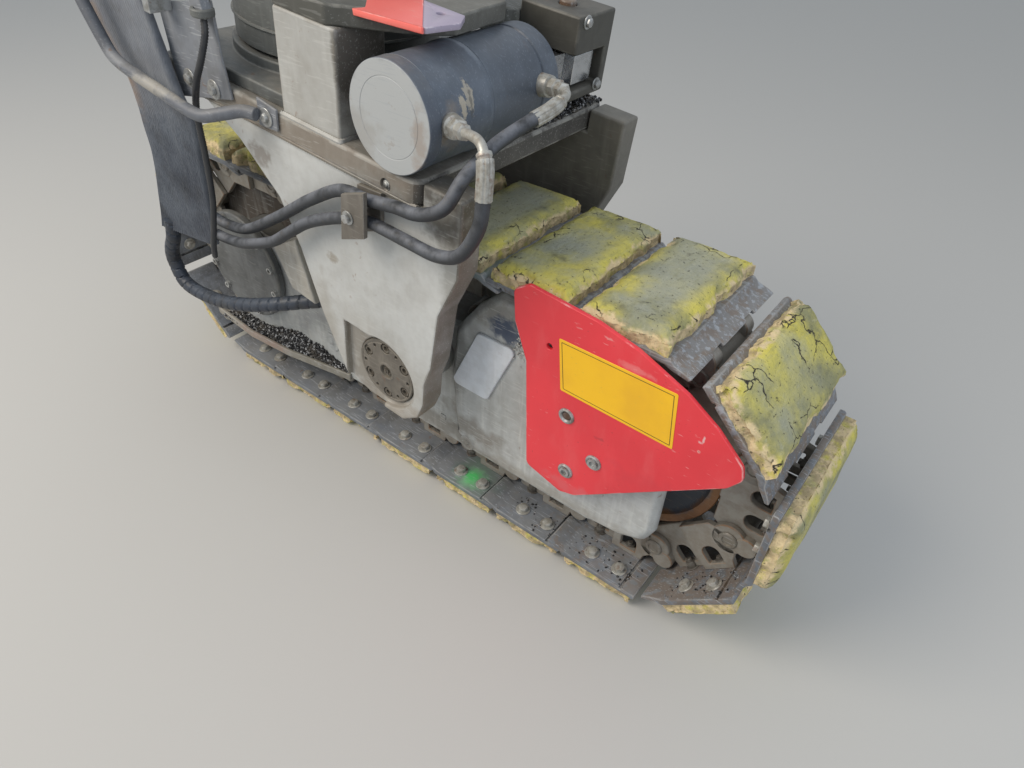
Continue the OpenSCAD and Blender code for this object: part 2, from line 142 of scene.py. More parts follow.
class Shape:
    """A mesh in the making, with the few operations that a machine's steel parts need."""

    def __init__(self) -> None:
        """Starts with no geometry, and a face layer that marks worn edges."""
        self.bm = bmesh.new()
        self.edge = self.bm.faces.layers.float.new("edge")

    def add(self, verts: Verts, matrix: Matrix | None) -> Verts:
        """Moves new vertices to their place.

        Args:
            verts: The vertices that an operator just made.
            matrix: Where they go, or None to leave them.

        Returns:
            The same vertices.
        """
        if matrix is not None:
            bmesh.ops.transform(self.bm, matrix=matrix, verts=verts)
        return verts

    def fresh(self, before: set[bmesh.types.BMVert]) -> Verts:
        """The vertices made since a set was taken, their faces turned outwards."""
        made = [vert for vert in self.bm.verts if vert not in before]
        bmesh.ops.recalc_face_normals(self.bm, faces=list({f for v in made for f in v.link_faces}))
        return made

    def box(self, low: Point, high: Point, matrix: Matrix | None = None) -> Verts:
        """Adds a block between two corners.

        Args:
            low: Lowest corner.
            high: Highest corner.
            matrix: Where the block goes.

        Returns:
            The block's vertices.
        """
        low_v, high_v = Vector(low), Vector(high)
        size = Matrix.Diagonal((*(high_v - low_v), 1.0))
        place = Matrix.Translation((low_v + high_v) / 2) @ size
        verts = bmesh.ops.create_cube(self.bm, size=1.0, matrix=place)["verts"]
        return self.add(verts, matrix)

    def drum(self, radius: float, start: Point | Vector, end: Point | Vector, sides: int = 48,
             end_radius: float | None = None, matrix: Matrix | None = None) -> Verts:
        """Adds a round bar or cone between two points.

        Args:
            radius: Radius at the start.
            start: Middle of the first end.
            end: Middle of the second end.
            sides: Number of facets.
            end_radius: Radius at the second end, if it differs.
            matrix: Where the drum goes.

        Returns:
            The drum's vertices.
        """
        first, last = Vector(start), Vector(end)
        along = last - first
        turn = along.to_track_quat("Z", "Y").to_matrix().to_4x4()
        place = Matrix.Translation((first + last) / 2) @ turn
        verts = bmesh.ops.create_cone(
            self.bm, cap_ends=True, segments=sides, radius1=radius,
            radius2=radius if end_radius is None else end_radius, depth=along.length, matrix=place,
        )["verts"]
        return self.add(verts, matrix)

    def plate(self, outline: Outline, y0: float, y1: float, matrix: Matrix | None = None,
              corner: float = 0.0, corners: list[int] | None = None) -> Verts:
        """Adds a plate from an outline in x and z, standing between two y values.

        Args:
            outline: Corners of the plate.
            y0: One face.
            y1: The other face.
            matrix: Where the plate goes.
            corner: Radius that its corners are rounded to.
            corners: Which corners are rounded, all of them if None.

        Returns:
            The plate's vertices.
        """
        before = set(self.bm.verts)
        ring = [self.bm.verts.new((x, y0, z)) for x, z in outline]
        face = self.bm.faces.new(ring)
        made = bmesh.ops.extrude_face_region(self.bm, geom=[face])["geom"]
        moved = [item for item in made if isinstance(item, bmesh.types.BMVert)]
        bmesh.ops.translate(self.bm, verts=moved, vec=(0.0, y1 - y0, 0.0))
        if corner > 0.0:
            chosen = range(len(ring)) if corners is None else corners
            posts = [next(e for e in ring[i].link_edges if abs(e.verts[0].co.y - e.verts[1].co.y) > 1e-7)
                     for i in chosen]
            self.bevel(posts, corner, 5)
        return self.add(self.fresh(before), matrix)

    def lathe(self, profile: Outline, matrix: Matrix | None = None, sides: int = 64) -> Verts:
        """Turns a profile about the Y axis.

        Args:
            profile: Radius and y of each point, from one side of the part to the other.
            matrix: Where the part goes.
            sides: Number of facets.

        Returns:
            The part's vertices.
        """
        before = set(self.bm.verts)
        verts = [self.bm.verts.new((radius, y, 0.0)) for radius, y in profile]
        edges = [self.bm.edges.new(pair) for pair in zip(verts, verts[1:])]
        bmesh.ops.spin(self.bm, geom=verts + edges, cent=(0, 0, 0), axis=(0, 1, 0), dvec=(0, 0, 0),
                       angle=math.tau, steps=sides, use_merge=True)
        made = [vert for vert in self.bm.verts if vert not in before]
        bmesh.ops.remove_doubles(self.bm, verts=made, dist=1e-6)
        return self.add(self.fresh(before), matrix)

    def cad(self, node: str) -> Verts:
        """Adds a copy of a CAD node's mesh, merged and with its flat faces made whole.

        Args:
            node: The node's name.

        Returns:
            The copy's vertices.
        """
        before = set(self.bm.verts)
        self.bm.from_mesh(frame["nodes"][node].data)
        made = [vert for vert in self.bm.verts if vert not in before]
        bmesh.ops.remove_doubles(self.bm, verts=made, dist=1e-5)
        made = [vert for vert in self.bm.verts if vert not in before]
        edges = list(dict.fromkeys(e for v in made for e in v.link_edges))
        bmesh.ops.dissolve_limit(self.bm, angle_limit=math.radians(1.0), use_dissolve_boundaries=False,
                                 verts=made, edges=edges, delimit={"NORMAL"})
        return [vert for vert in self.bm.verts if vert not in before]

    def surface(self, x: float, z: float, side: int) -> Vector:
        """Where a ray along y first meets the shape, from the outer side with -1, from the other with 1."""
        tree = BVHTree.FromBMesh(self.bm)
        return tree.ray_cast(Vector((x, side * 0.5, z)), Vector((0.0, -side, 0.0)))[0]

    def bevel(self, edges: list, width: float, segments: int) -> list[bmesh.types.BMFace]:
        """Bevels edges and returns the faces that this makes."""
        return bmesh.ops.bevel(self.bm, geom=edges, offset=width, offset_type="OFFSET", segments=segments,
                               profile=0.5, affect="EDGES", material=-1, clamp_overlap=False)["faces"]

    def round_edges(self, width: float, segments: int = 2, angle: float = 30.0,
                    only: Verts | None = None) -> None:
        """Rounds the sharp edges and marks the faces along them for wear.

        Args:
            width: How far the rounding reaches on each side of an edge.
            segments: Facets across the rounding.
            angle: Edges that turn by less than this, in degrees, stay.
            only: Vertices whose edges are rounded, all of them if None.
        """
        edges = self.bm.edges if only is None else dict.fromkeys(
            e for v in only if v.is_valid for e in v.link_edges)
        sharp = [
            e for e in edges if len(e.link_faces) == 2 and e.calc_face_angle(0.0) > math.radians(angle)]
        for face in self.bevel(sharp, width, segments):
            face[self.edge] = 1.0

    def mark_painted_shade(self, direction: Vector, least: float = 0.55) -> None:
        """Marks the faces that look along a direction, where painted shade darkens that side.

        Args:
            direction: The direction.
            least: Smallest cosine between it and a marked face's normal.
        """
        # The "turned" layer tells the finish where to paint shade.
        layer = self.bm.faces.layers.float.get("turned") or self.bm.faces.layers.float.new("turned")
        for face in self.bm.faces:
            face[layer] = 1.0 if face.normal.dot(direction) > least else 0.0

    def refill(self, same: float = 0.99999) -> None:
        """Fills the flat areas between rounded edges anew, so that large faces with holes don't cross.

        Args:
            same: Smallest cosine between the normals of two faces of one flat area.
        """
        self.bm.normal_update()
        seen = {face for face in self.bm.faces if face[self.edge] == 1.0}
        for start in list(self.bm.faces):
            if not start.is_valid or start in seen:
                continue
            area, normal = {start: None}, start.normal.copy()
            queue = [start]
            while queue:
                for other in (f for e in queue.pop(0).edges for f in e.link_faces):
                    if other not in seen and other not in area and other.normal.dot(normal) > same:
                        area[other] = None
                        queue.append(other)
            seen.update(area)
            if len(area) == 1 and len(start.verts) < 5:
                continue
            outline = list(dict.fromkeys(e for f in area for e in f.edges
                                         if any(g not in area for g in e.link_faces)))
            bmesh.ops.delete(self.bm, geom=list(area), context="FACES_KEEP_BOUNDARY")
            bmesh.ops.triangle_fill(self.bm, use_beauty=True, edges=outline, normal=normal)
        bmesh.ops.recalc_face_normals(self.bm, faces=self.bm.faces)

    def sink(self, verts: Verts, toward: Vector, inset: float, depth: float) -> None:
        """Sinks a hole of the same outline into the face that looks furthest along a direction.

        Args:
            verts: Vertices of the part.
            toward: The direction.
            inset: Width of the wall that stays.
            depth: Depth of the hole.
        """
        faces = {f for v in verts if v.is_valid for f in v.link_faces}
        top = max(faces, key=lambda f: f.calc_center_median().dot(toward) + 1e-3 * f.normal.dot(toward))
        bmesh.ops.inset_region(self.bm, faces=[top], thickness=inset, depth=0.0, use_even_offset=True)
        bmesh.ops.inset_region(
            self.bm, faces=[top], thickness=inset * 0.05, depth=-depth, use_even_offset=True)

    def cut(self, tool: "Shape") -> None:
        """Cuts another closed shape, which is used up, out of this one.

        Args:
            tool: The shape that is taken away.
        """
        pair = []
        for bm in (self.bm, tool.bm):
            mesh = bpy.data.meshes.new("cut")
            bm.to_mesh(mesh)
            bm.free()
            pair.append(placed("cut", mesh))
        change = pair[0].modifiers.new("cut", "BOOLEAN")
        change.operation, change.solver, change.object = "DIFFERENCE", "EXACT", pair[1]
        result = bpy.data.meshes.new_from_object(
            pair[0].evaluated_get(bpy.context.evaluated_depsgraph_get()))
        self.bm = bmesh.new()
        self.bm.from_mesh(result)
        layers = self.bm.faces.layers.float
        self.edge = layers.get("edge") or layers.new("edge")
        for mesh in (result, pair[0].data, pair[1].data):
            bpy.data.meshes.remove(mesh)

    def stamp(self, other: "Shape", places: list[Matrix]) -> None:
        """Adds a copy of another shape, which is used up, at each place.

        Args:
            other: The shape.
            places: Where its copies go.
        """
        for place in places:
            mesh = bpy.data.meshes.new("part")
            other.bm.to_mesh(mesh)
            mesh.transform(place)
            self.bm.from_mesh(mesh)
            bpy.data.meshes.remove(mesh)
        other.bm.free()

    def finish(self, name: str, body: Body, slot: str, material: Material, replaces: tuple[str, ...] = (),
               smooth: float = 35.0, crisp: bool = False) -> bpy.types.Object:
        """Makes the shape a piece that rides on a body.

        Args:
            name: The piece's name.
            body: The body that it moves with.
            slot: The record's material slot.
            material: Its finish.
            replaces: CAD nodes that it stands for.
            smooth: Angle in degrees up to which faces shade smoothly.
            crisp: Whether large flat faces shade flat right up to their rounded edges.

        Returns:
            The finished object.
        """
        mesh = bpy.data.meshes.new(name)
        self.bm.to_mesh(mesh)
        self.bm.free()
        mesh.shade_smooth()
        mesh.set_sharp_from_angle(angle=math.radians(smooth))
        mesh.materials.append(material)
        made = placed(name, mesh)
        if crisp:
            change = made.modifiers.new("normals", "WEIGHTED_NORMAL")
            change.keep_sharp = True
            made.data = bpy.data.meshes.new_from_object(
                made.evaluated_get(bpy.context.evaluated_depsgraph_get()))
            made.modifiers.clear()
            bpy.data.meshes.remove(mesh)
            mesh = made.data
            mesh.name = name
        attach(made, body.value)
        if replaces:
            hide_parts(*replaces)
        LOG.info("%s: %d faces", name, len(mesh.polygons))
        return made


def smooth_route(points: list[Vector], step: float) -> list[Vector]:
    """A Catmull-Rom curve through a route, at even steps.

    Args:
        points: The route's own points.
        step: Distance between the new points.

    Returns:
        Points along the curve, its ends among them.
    """
    ends = [points[0] * 2 - points[1], *points, points[-1] * 2 - points[-2]]
    dense: list[Vector] = []
    for a, b, c, d in zip(ends, ends[1:], ends[2:], ends[3:]):
        for k in range(12):
            t = k / 12
            dense.append(0.5 * (2 * b + (c - a) * t + (2 * a - 5 * b + 4 * c - d) * t * t
                                + (3 * b - a - 3 * c + d) * t ** 3))
    dense.append(points[-1].copy())
    total = route_length(dense)
    count = max(2, round(total / step))
    even, gone, index = [dense[0]], 0.0, 0
    for k in range(1, count):
        goal = total * k / count
        while gone + (dense[index + 1] - dense[index]).length < goal:
            gone += (dense[index + 1] - dense[index]).length
            index += 1
        part = (goal - gone) / (dense[index + 1] - dense[index]).length
        even.append(dense[index].lerp(dense[index + 1], part))
    return even + [dense[-1]]


def route_length(points: list[Vector]) -> float:
    """Length of a route in metres."""
    return sum((q - p).length for p, q in zip(points, points[1:]))


def loft(shape: Shape, rings: list[list[Vector]]) -> Verts:
    """Bridges a row of rings of equal number, and closes both ends.

    Args:
        shape: The mesh that the skin is added to.
        rings: Points of each ring, in order.

    Returns:
        The skin's vertices.
    """
    before = set(shape.bm.verts)
    last: list[bmesh.types.BMEdge] = []
    for index, ring in enumerate(rings):
        capped = index in (0, len(rings) - 1)
        verts = bmesh.ops.create_circle(shape.bm, cap_ends=capped, radius=1.0, segments=len(ring))["verts"]
        edges = list({e for v in verts for e in v.link_edges})
        for vert, point in zip(verts, ring):
            vert.co = point
        if last:
            bmesh.ops.bridge_loops(shape.bm, edges=last + edges)
        last = edges
    return shape.fresh(before)


def sweep(shape: Shape, line: list[Vector], radius: Callable[[float, float], float],
          sides: int = 16) -> None:
    """Sweeps a nearly round section along a line.

    Args:
        shape: The mesh that the tube is added to.
        line: Points of its centre line.
        radius: Radius at a distance along the line, and at a part of a turn from 0 to 1.
        sides: Number of facets.
    """
    side = (line[1] - line[0]).orthogonal().normalized()
    turns = [math.tau * k / sides for k in range(sides)]
    rings, gone = [], 0.0
    for index, point in enumerate(line):
        gone += (point - line[index - 1]).length if index else 0.0
        along = (line[min(index + 1, len(line) - 1)] - line[max(index - 1, 0)]).normalized()
        side = (side - along * side.dot(along)).normalized()
        across = along.cross(side)
        rings.append([point + (side * math.cos(turn) + across * math.sin(turn)) * radius(gone, k / sides)
                      for k, turn in enumerate(turns)])
    loft(shape, rings)


def weld(shape: Shape, points: list[Vector], size: float = 0.0035) -> None:
    """Lays a rippled weld bead along a line.

    Args:
        shape: The mesh that it is added to.
        points: The line.
        size: Radius of the bead.
    """
    line: list[Vector] = []
    for a, b in zip(points, points[1:]):
        count = max(1, round((b - a).length / 0.0025))
        line += [a.lerp(b, k / count) for k in range(count)]
    line.append(points[-1])
    sweep(shape, line, lambda gone, turn: size * (1 + 0.16 * math.sin(gone / 0.0045 * math.tau)), 6)


class Head(Enum):
    """Kinds of fastener."""

    HEXAGON = "hexagon"
    SOCKET = "socket"
    NUT = "nut"
    DOMED = "domed"


def fastener(kind: Head, radius: float, tall: float, washer: float = 1.5) -> Shape:
    """One bolt head or nut on its washer, along its own Z.

    Args:
        kind: What it is.
        radius: Radius of the head, over its corners.
        tall: Height of the head.
        washer: The washer's radius over the head's, 0 for none.

    Returns:
        The shape, seated at the origin.
    """
    shape = Shape()
    seat = 0.0025 if washer else 0.0
    if washer:
        shape.round_edges(0.0006, 1, 40.0, shape.drum(radius * washer, (0, 0, 0), (0, 0, seat), 24))
    sides = 20 if kind in (Head.SOCKET, Head.DOMED) else 6
    head = shape.drum(radius, (0, 0, seat), (0, 0, seat + tall), sides,
                      end_radius=radius * 0.7 if kind is Head.DOMED else None)
    if kind is Head.SOCKET:
        shape.sink(head, Vector((0, 0, 1)), radius * 0.42, tall * 0.6)
    else:
        shape.round_edges(min(0.0012, tall * 0.2), 2, 20.0, head)
    if kind is Head.NUT:
        stud = shape.drum(radius * 0.52, (0, 0, seat + tall * 0.5), (0, 0, seat + tall * 1.5), 14)
        shape.round_edges(0.001, 1, 40.0, stud)
    return shape


# Materials


def linear(code: str) -> Colour:
    """An sRGB hex colour as linear values for a shader socket.

    Args:
        code: The colour, such as "d8404a".

    Returns:
        Linear red, green and blue, and full alpha.
    """
    parts = [int(code[i:i + 2], 16) / 255 for i in (0, 2, 4)]
    red, green, blue = [c / 12.92 if c <= 0.04045 else ((c + 0.055) / 1.055) ** 2.4 for c in parts]
    return red, green, blue, 1.0


@dataclass(frozen=True)
class Mark:
    """A stain, rust patch, bright wear, painted shade or painted highlight at one place of a piece.

    The place is in millimetres in the row frame, or in the yoke's frame. The size is half the
    mark's reach along each axis, with 0 for an axis that it runs along without end.
    """

    place: Point
    size: Point
    colour: str
    strength: float = 0.8
    ragged: float = 0.9
    grain: float = 14.0
    soft: float = 0.5
    yoke: bool = False


class Surface:
    """One material's node tree, with the patterns that dirt, rust and wear are made of."""

    def __init__(self, name: str, colour: str) -> None:
        """Makes a material that reads Object coordinates.

        Args:
            name: The material's name.
            colour: sRGB hex code of its ground.
        """
        self.material = bpy.data.materials.new(name)
        self.material.use_nodes = True
        self.tree = self.material.node_tree
        self.tree.nodes.clear()
        self.where = self.add("TexCoord").outputs["Object"]
        self.colour: object = linear(colour)

    def add(self, kind: str, inputs: dict | None = None, **settings: object) -> bpy.types.Node:
        """Adds one node.

        Args:
            kind: The node's type, without its ShaderNode prefix.
            inputs: Socket name or number to a value or to another node's output.
            **settings: The node's own properties.

        Returns:
            The node.
        """
        made = self.tree.nodes.new("ShaderNode" + kind)
        for key, value in settings.items():
            setattr(made, key, value)
        for key, value in (inputs or {}).items():
            if isinstance(value, Socket):
                self.tree.links.new(value, made.inputs[key])
            else:
                made.inputs[key].default_value = value
        return made

    def patches(self, size: float, low: float, high: float, seed: float = 0.0,
                stretch: Point = (1.0, 1.0, 1.0), detail: float = 4.0) -> Socket:
        """A mask of soft or hard patches.

        Args:
            size: Typical patch size in millimetres.
            low: Noise value where the mask starts.
            high: Noise value where the mask is full.
            seed: Shifts the pattern.
            stretch: How much the pattern is squeezed along each axis.
            detail: Levels of finer noise.

        Returns:
            The mask, 0 to 1.
        """
        place = self.add("Mapping", {"Vector": self.where, "Location": (seed, seed * 0.7, -seed),
                                     "Scale": stretch})
        grain = self.add("TexNoise", {"Vector": place.outputs[0], "Scale": 0.5 / (size * MM),
                                      "Detail": detail, "Roughness": 0.6})
        return self.add("MapRange", {"Value": grain.outputs[0], "From Min": low, "From Max": high},
                        interpolation_type="SMOOTHSTEP").outputs[0]

    def cracks(self, size: float, width: float, seed: float = 0.0) -> Socket:
        """A mask of thin, wandering cracks between irregular cells.

        Args:
            size: Size of the cells in millimetres.
            width: Width of a crack in millimetres.
            seed: Shifts the pattern.

        Returns:
            The mask, 0 to 1.
        """
        place = self.add("Mapping", {"Vector": self.where, "Location": (seed, -seed, seed)})
        wander = self.add(
            "TexNoise", {"Vector": place.outputs[0], "Scale": 1.2 / (size * MM), "Detail": 5.0})
        shift = self.add(
            "VectorMath", {0: wander.outputs["Color"], 1: (size * MM,) * 3}, operation="MULTIPLY")
        bent = self.add("VectorMath", {0: place.outputs[0], 1: shift.outputs[0]}, operation="ADD")
        cell = self.add("TexVoronoi", {"Vector": bent.outputs[0], "Scale": 1 / (size * MM)},
                        feature="DISTANCE_TO_EDGE")
        return self.add("MapRange", {"Value": cell.outputs["Distance"], "From Min": width / size,
                                     "From Max": 0.3 * width / size}).outputs[0]

    def spot(self, mark: Mark, seed: float) -> Socket:
        """The mask of one mark.

        Args:
            mark: Its place, size and edge.
            seed: Shifts its ragged edge.

        Returns:
            The mask, 0 to the mark's strength.
        """
        centre = Vector(mark.place) * MM
        if mark.yoke:
            centre = YOKE.matrix() @ centre
        scale = [1 / (half * MM) if half else 0.0 for half in mark.size]
        shift = [-c * k for c, k in zip(centre, scale)]
        near = self.add("Mapping", {"Vector": self.where, "Location": shift, "Scale": scale})
        away = self.add("VectorMath", {0: near.outputs[0]}, operation="LENGTH").outputs["Value"]
        rough = self.add(
            "Math", {0: self.patches(mark.grain, 0.25, 0.75, seed), 1: 0.5}, operation="SUBTRACT")
        far = self.add("Math", {0: rough.outputs[0], 1: mark.ragged, 2: away}, operation="MULTIPLY_ADD")
        inside = self.add("MapRange", {"Value": far.outputs[0], "From Min": 1 + mark.soft / 2,
                                       "From Max": 1 - mark.soft / 2}).outputs[0]
        return self.times(inside, mark.strength)

    def lay_marks(self, marks: tuple[Mark, ...]) -> None:
        """Lays marks over the colour, in order, each with an edge of its own."""
        for index, mark in enumerate(marks):
            self.lay(self.spot(mark, 20.0 + 3.1 * index), mark.colour)

    def attribute(self, name: str) -> Socket:
        """Reads one of the mesh's own number layers."""
        return self.add("Attribute", attribute_name=name).outputs["Fac"]

    def times(self, first: object, second: object) -> Socket:
        """The product of two masks or numbers."""
        return self.add("Math", {0: first, 1: second}, operation="MULTIPLY").outputs[0]

    def lay(self, mask: object, colour: str) -> None:
        """Lays a colour, as an sRGB hex code, over what is there where the mask is."""
        sockets = {"Factor": mask, MIX_UNDER: self.colour, MIX_OVER: linear(colour)}
        self.colour = self.add("Mix", sockets, data_type="RGBA").outputs[MIX_RESULT]

    def upward(self, low: float = 0.5, high: float = 0.95) -> Socket:
        """A mask of the faces that look up, where dust settles and where hoses get a painted sky sheen."""
        normal = self.add("NewGeometry").outputs["Normal"]
        height = self.add("SeparateXYZ", {0: normal}).outputs["Z"]
        return self.add("MapRange", {"Value": height, "From Min": low, "From Max": high}).outputs[0]

    def bump(self, height: object, depth: float, previous: Socket | None = None) -> Socket:
        """Fine relief.

        Args:
            height: A mask that stands up where it is 1.
            depth: Its height in millimetres.
            previous: A normal that this one builds on.

        Returns:
            The normal.
        """
        inputs = {"Strength": 1.0, "Distance": depth * MM, "Height": height}
        if previous is not None:
            inputs["Normal"] = previous
        return self.add("Bump", inputs).outputs[0]

    def done(self, roughness: object, normal: Socket | None, metallic: float = 0.0,
             **fixed: float) -> Material:
        """Adds the shader.

        Args:
            roughness: Roughness.
            normal: Relief, or None.
            metallic: 1 for bare metal.
            **fixed: Other sockets that are the same all over, with _ for a space.

        Returns:
            The material.
        """
        inputs = {"Base Color": self.colour, "Roughness": roughness, "Metallic": metallic}
        if normal is not None:
            inputs["Normal"] = normal
        inputs.update({key.replace("_", " "): value for key, value in fixed.items()})
        shader = self.add("BsdfPrincipled", inputs)
        self.add("OutputMaterial", {"Surface": shader.outputs[0]})
        return self.material


@dataclass(frozen=True)
class WeatheredSteel:
    """Sprayed enamel or bare steel on a working machine: faded, stained, streaked, scratched, rusty.

    The eye gets broad fading first, then clouds of dirt and runs, painted shade on the faces of one side,
    then scratches, small rust spots, worn edges and the marks of this one machine, some of them painted
    shade or highlights.
    """

    name: str
    colour: str
    faded: str
    stain: str = "4a443c"
    rust: str = "6b3f26"
    chip: str = "8d8b86"
    dust: str = "8f8878"
    pale: str = "c4c6c4"
    mottle: float = 0.2
    stains: float = 0.35
    runs: float = 0.25
    streaks: float = 0.2
    scratches: float = 0.3
    rusting: float = 0.5
    chipping: float = 0.5
    dusting: float = 0.4
    roughness: float = 0.5
    metallic: float = 0.0
    grit: float = 0.06
    dents: float = 0.25
    # Colour of the painted shade on the faces marked turned, none if empty.
    turned: str = ""
    marks: tuple[Mark, ...] = ()

    def material(self) -> Material:
        """Builds the finish.

        Returns:
            The material.
        """
        s = Surface(self.name, self.colour)
        s.lay(s.patches(170, 0.35, 0.65, 1.0), self.faded)
        s.lay(s.times(s.patches(9, 0.35, 0.7, 7.0, detail=6.0), self.mottle), self.stain)
        pale = s.patches(7, 0.5, 0.72, 2.5, stretch=(1.0, 1.0, 0.1), detail=3.0)
        s.lay(s.times(pale, self.streaks), self.pale)
        stained = s.times(s.patches(55, 0.48, 0.74, 2.0, detail=7.0), self.stains)
        s.lay(stained, self.stain)
        run = s.times(s.patches(13, 0.52, 0.8, 3.0, stretch=(1.0, 1.0, 0.1)), self.runs)
        s.lay(run, self.stain)
        dusty = s.times(s.times(s.upward(), s.patches(26, 0.3, 0.65, 4.0, detail=6.0)), self.dusting)
        s.lay(dusty, self.dust)
        # Painted shade: the faces marked turned are darkened to this colour, a little mottled.
        if self.turned:
            dirt = s.add("MapRange", {"Value": s.patches(30, 0.3, 0.7, 3.3, detail=6.0), "To Min": 0.7,
                                      "To Max": 0.95}).outputs[0]
            s.lay(s.times(s.attribute("turned"), dirt), self.turned)
        s.lay_marks(self.marks)
        spots = s.times(s.patches(9, 0.64, 0.69, 5.0, detail=5.0), s.patches(90, 0.5, 0.62, 5.5))
        s.lay(s.times(spots, self.rusting), self.rust)
        scratch = s.times(
            s.patches(1.3, 0.62, 0.68, 6.5, stretch=(0.07, 1.0, 0.8), detail=1.0), self.scratches)
        s.lay(scratch, self.pale)
        worn = s.times(
            s.times(s.attribute("edge"), s.patches(18, 0.4, 0.62, 6.0, detail=5.0)), self.chipping)
        s.lay(worn, self.chip)
        rough = s.add("MapRange", {"Value": stained, "To Min": self.roughness,
                                   "To Max": min(1.0, self.roughness + 0.3)}).outputs[0]
        normal = s.bump(s.patches(2.2, 0.2, 0.8, 8.0), self.grit)
        normal = s.bump(s.patches(70, 0.2, 0.8, 9.0, detail=2.0), self.dents, normal)
        return s.done(rough, normal, self.metallic)


@dataclass(frozen=True)
class PadPlastic:
    """Cast polyurethane: olive yellow, brushed grey by the road, torn to a pale core at its edges.

    The eye gets yellow and grey clouds, fine brushing across the track, thin dark cracks near
    the edges and a crumbly cream rim over grimy side walls.
    """

    name: str = "pad_polyurethane"
    colour: str = "d3c75c"
    olive: str = "8d8c66"
    scuffed: str = "a0a396"
    torn: str = "dcc79c"
    wall: str = "ab9a78"
    crack: str = "2c2820"
    ground: str = "5b5a4a"

    def material(self) -> Material:
        """Builds the finish.

        Returns:
            The material.
        """
        s = Surface(self.name, self.colour)
        s.lay(s.patches(60, 0.42, 0.66, 1.0, detail=6.0), self.olive)
        worn = s.times(s.attribute("middle"), s.patches(80, 0.36, 0.58, 2.0, detail=6.0))
        s.lay(s.times(worn, 0.8), self.scuffed)
        dusty = s.patches(38, 0.46, 0.7, 2.6, detail=7.0)
        s.lay(s.times(dusty, 0.55), self.scuffed)
        smear = s.times(s.patches(5, 0.48, 0.75, 3.0, stretch=(1.0, 0.22, 1.0), detail=6.0), 0.45)
        s.lay(smear, self.olive)
        pale = s.times(s.patches(4, 0.56, 0.75, 3.6, stretch=(1.0, 0.3, 1.0), detail=5.0), 0.4)
        s.lay(pale, "c3c1a6")
        grime = s.times(s.patches(16, 0.56, 0.74, 5.0, detail=8.0), 0.55)
        s.lay(grime, self.ground)
        torn = s.times(s.attribute("torn"), s.patches(9, 0.36, 0.55, 4.0, detail=6.0))
        s.lay(torn, self.torn)
        side = s.times(s.attribute("wall"), s.patches(9, 0.42, 0.6, 4.4, detail=7.0))
        s.lay(s.times(side, 0.9), self.wall)
        pits = s.times(s.patches(3, 0.62, 0.7, 5.4, detail=3.0), 0.75)
        s.lay(pits, self.crack)
        rim = s.add(
            "MapRange", {"Value": s.attribute("middle"), "From Min": 0.95, "From Max": 0.5}).outputs[0]
        whole = s.add(
            "MapRange", {"Value": s.attribute("wall"), "From Min": 0.5, "From Max": 0.05}).outputs[0]
        split = s.times(s.times(s.cracks(58, 1.3, 7.0), s.times(rim, whole)), s.patches(34, 0.5, 0.56, 6.0))
        s.lay(split, self.crack)
        normal = s.bump(s.patches(3.5, 0.2, 0.8, 6.0, detail=7.0), 1.4)
        normal = s.bump(split, -0.9, normal)
        return s.done(0.72, normal)


@dataclass(frozen=True)
class Enamel:
    """Smooth sprayed enamel, with fine scratches and chips that show primer or bare steel."""

    name: str
    colour: str
    deep: str
    chip: str = "cfc9c2"
    scratches: float = 0.3
    chipping: float = 0.6
    cloud: float = 0.06
    roughness: float = 0.34
    marks: tuple[Mark, ...] = ()

    def material(self) -> Material:
        """Builds the finish.

        Returns:
            The material.
        """
        s = Surface(self.name, self.colour)
        s.lay(s.patches(110, 0.35, 0.7, 1.0), self.deep)
        cloud = s.times(s.patches(30, 0.5, 0.75, 1.6, stretch=(1.0, 1.0, 0.35), detail=6.0), self.cloud)
        s.lay(cloud, self.chip)
        scuff = s.times(s.patches(1.6, 0.64, 0.7, 2.0, stretch=(0.12, 1.0, 0.5), detail=2.0),
                        s.patches(45, 0.45, 0.6, 2.5))
        s.lay(s.times(scuff, self.scratches), self.chip)
        dots = s.times(s.patches(2.6, 0.71, 0.75, 3.0, detail=2.0), self.scratches)
        s.lay(dots, "5a3a34")
        s.lay_marks(self.marks)
        worn = s.times(
            s.times(s.attribute("edge"), s.patches(26, 0.5, 0.62, 4.0, detail=5.0)), self.chipping)
        s.lay(worn, self.chip)
        normal = s.bump(s.patches(2.5, 0.2, 0.8, 5.0), 0.02)
        return s.done(self.roughness, normal)


@dataclass(frozen=True)
class HoseRubber:
    """Vulcanised hose rubber under road dust: dark grey, its upper side lighter with dust and a painted sky
    sheen.
    """

    name: str = "hose_rubber"
    colour: str = "34373b"
    # Colour of the dust and painted sheen on the upper side.
    dust: str = "858991"
    dusting: float = 0.62
    roughness: float = 0.6

    def material(self) -> Material:
        """Builds the finish.

        Returns:
            The material.
        """
        s = Surface(self.name, self.colour)
        s.lay(s.patches(30, 0.4, 0.65, 1.0), "2e3033")
        # The upper side is lightened: dust together with a painted sky sheen.
        dusty = s.times(s.upward(-0.3, 0.8), s.patches(15, 0.3, 0.6, 2.0, detail=7.0))
        s.lay(s.times(dusty, self.dusting), self.dust)
        grime = s.times(s.patches(6, 0.58, 0.7, 3.3, detail=5.0), 0.3)
        s.lay(grime, "5f574a")
        return s.done(self.roughness, s.bump(s.patches(1.5, 0.2, 0.8, 3.0), 0.12))


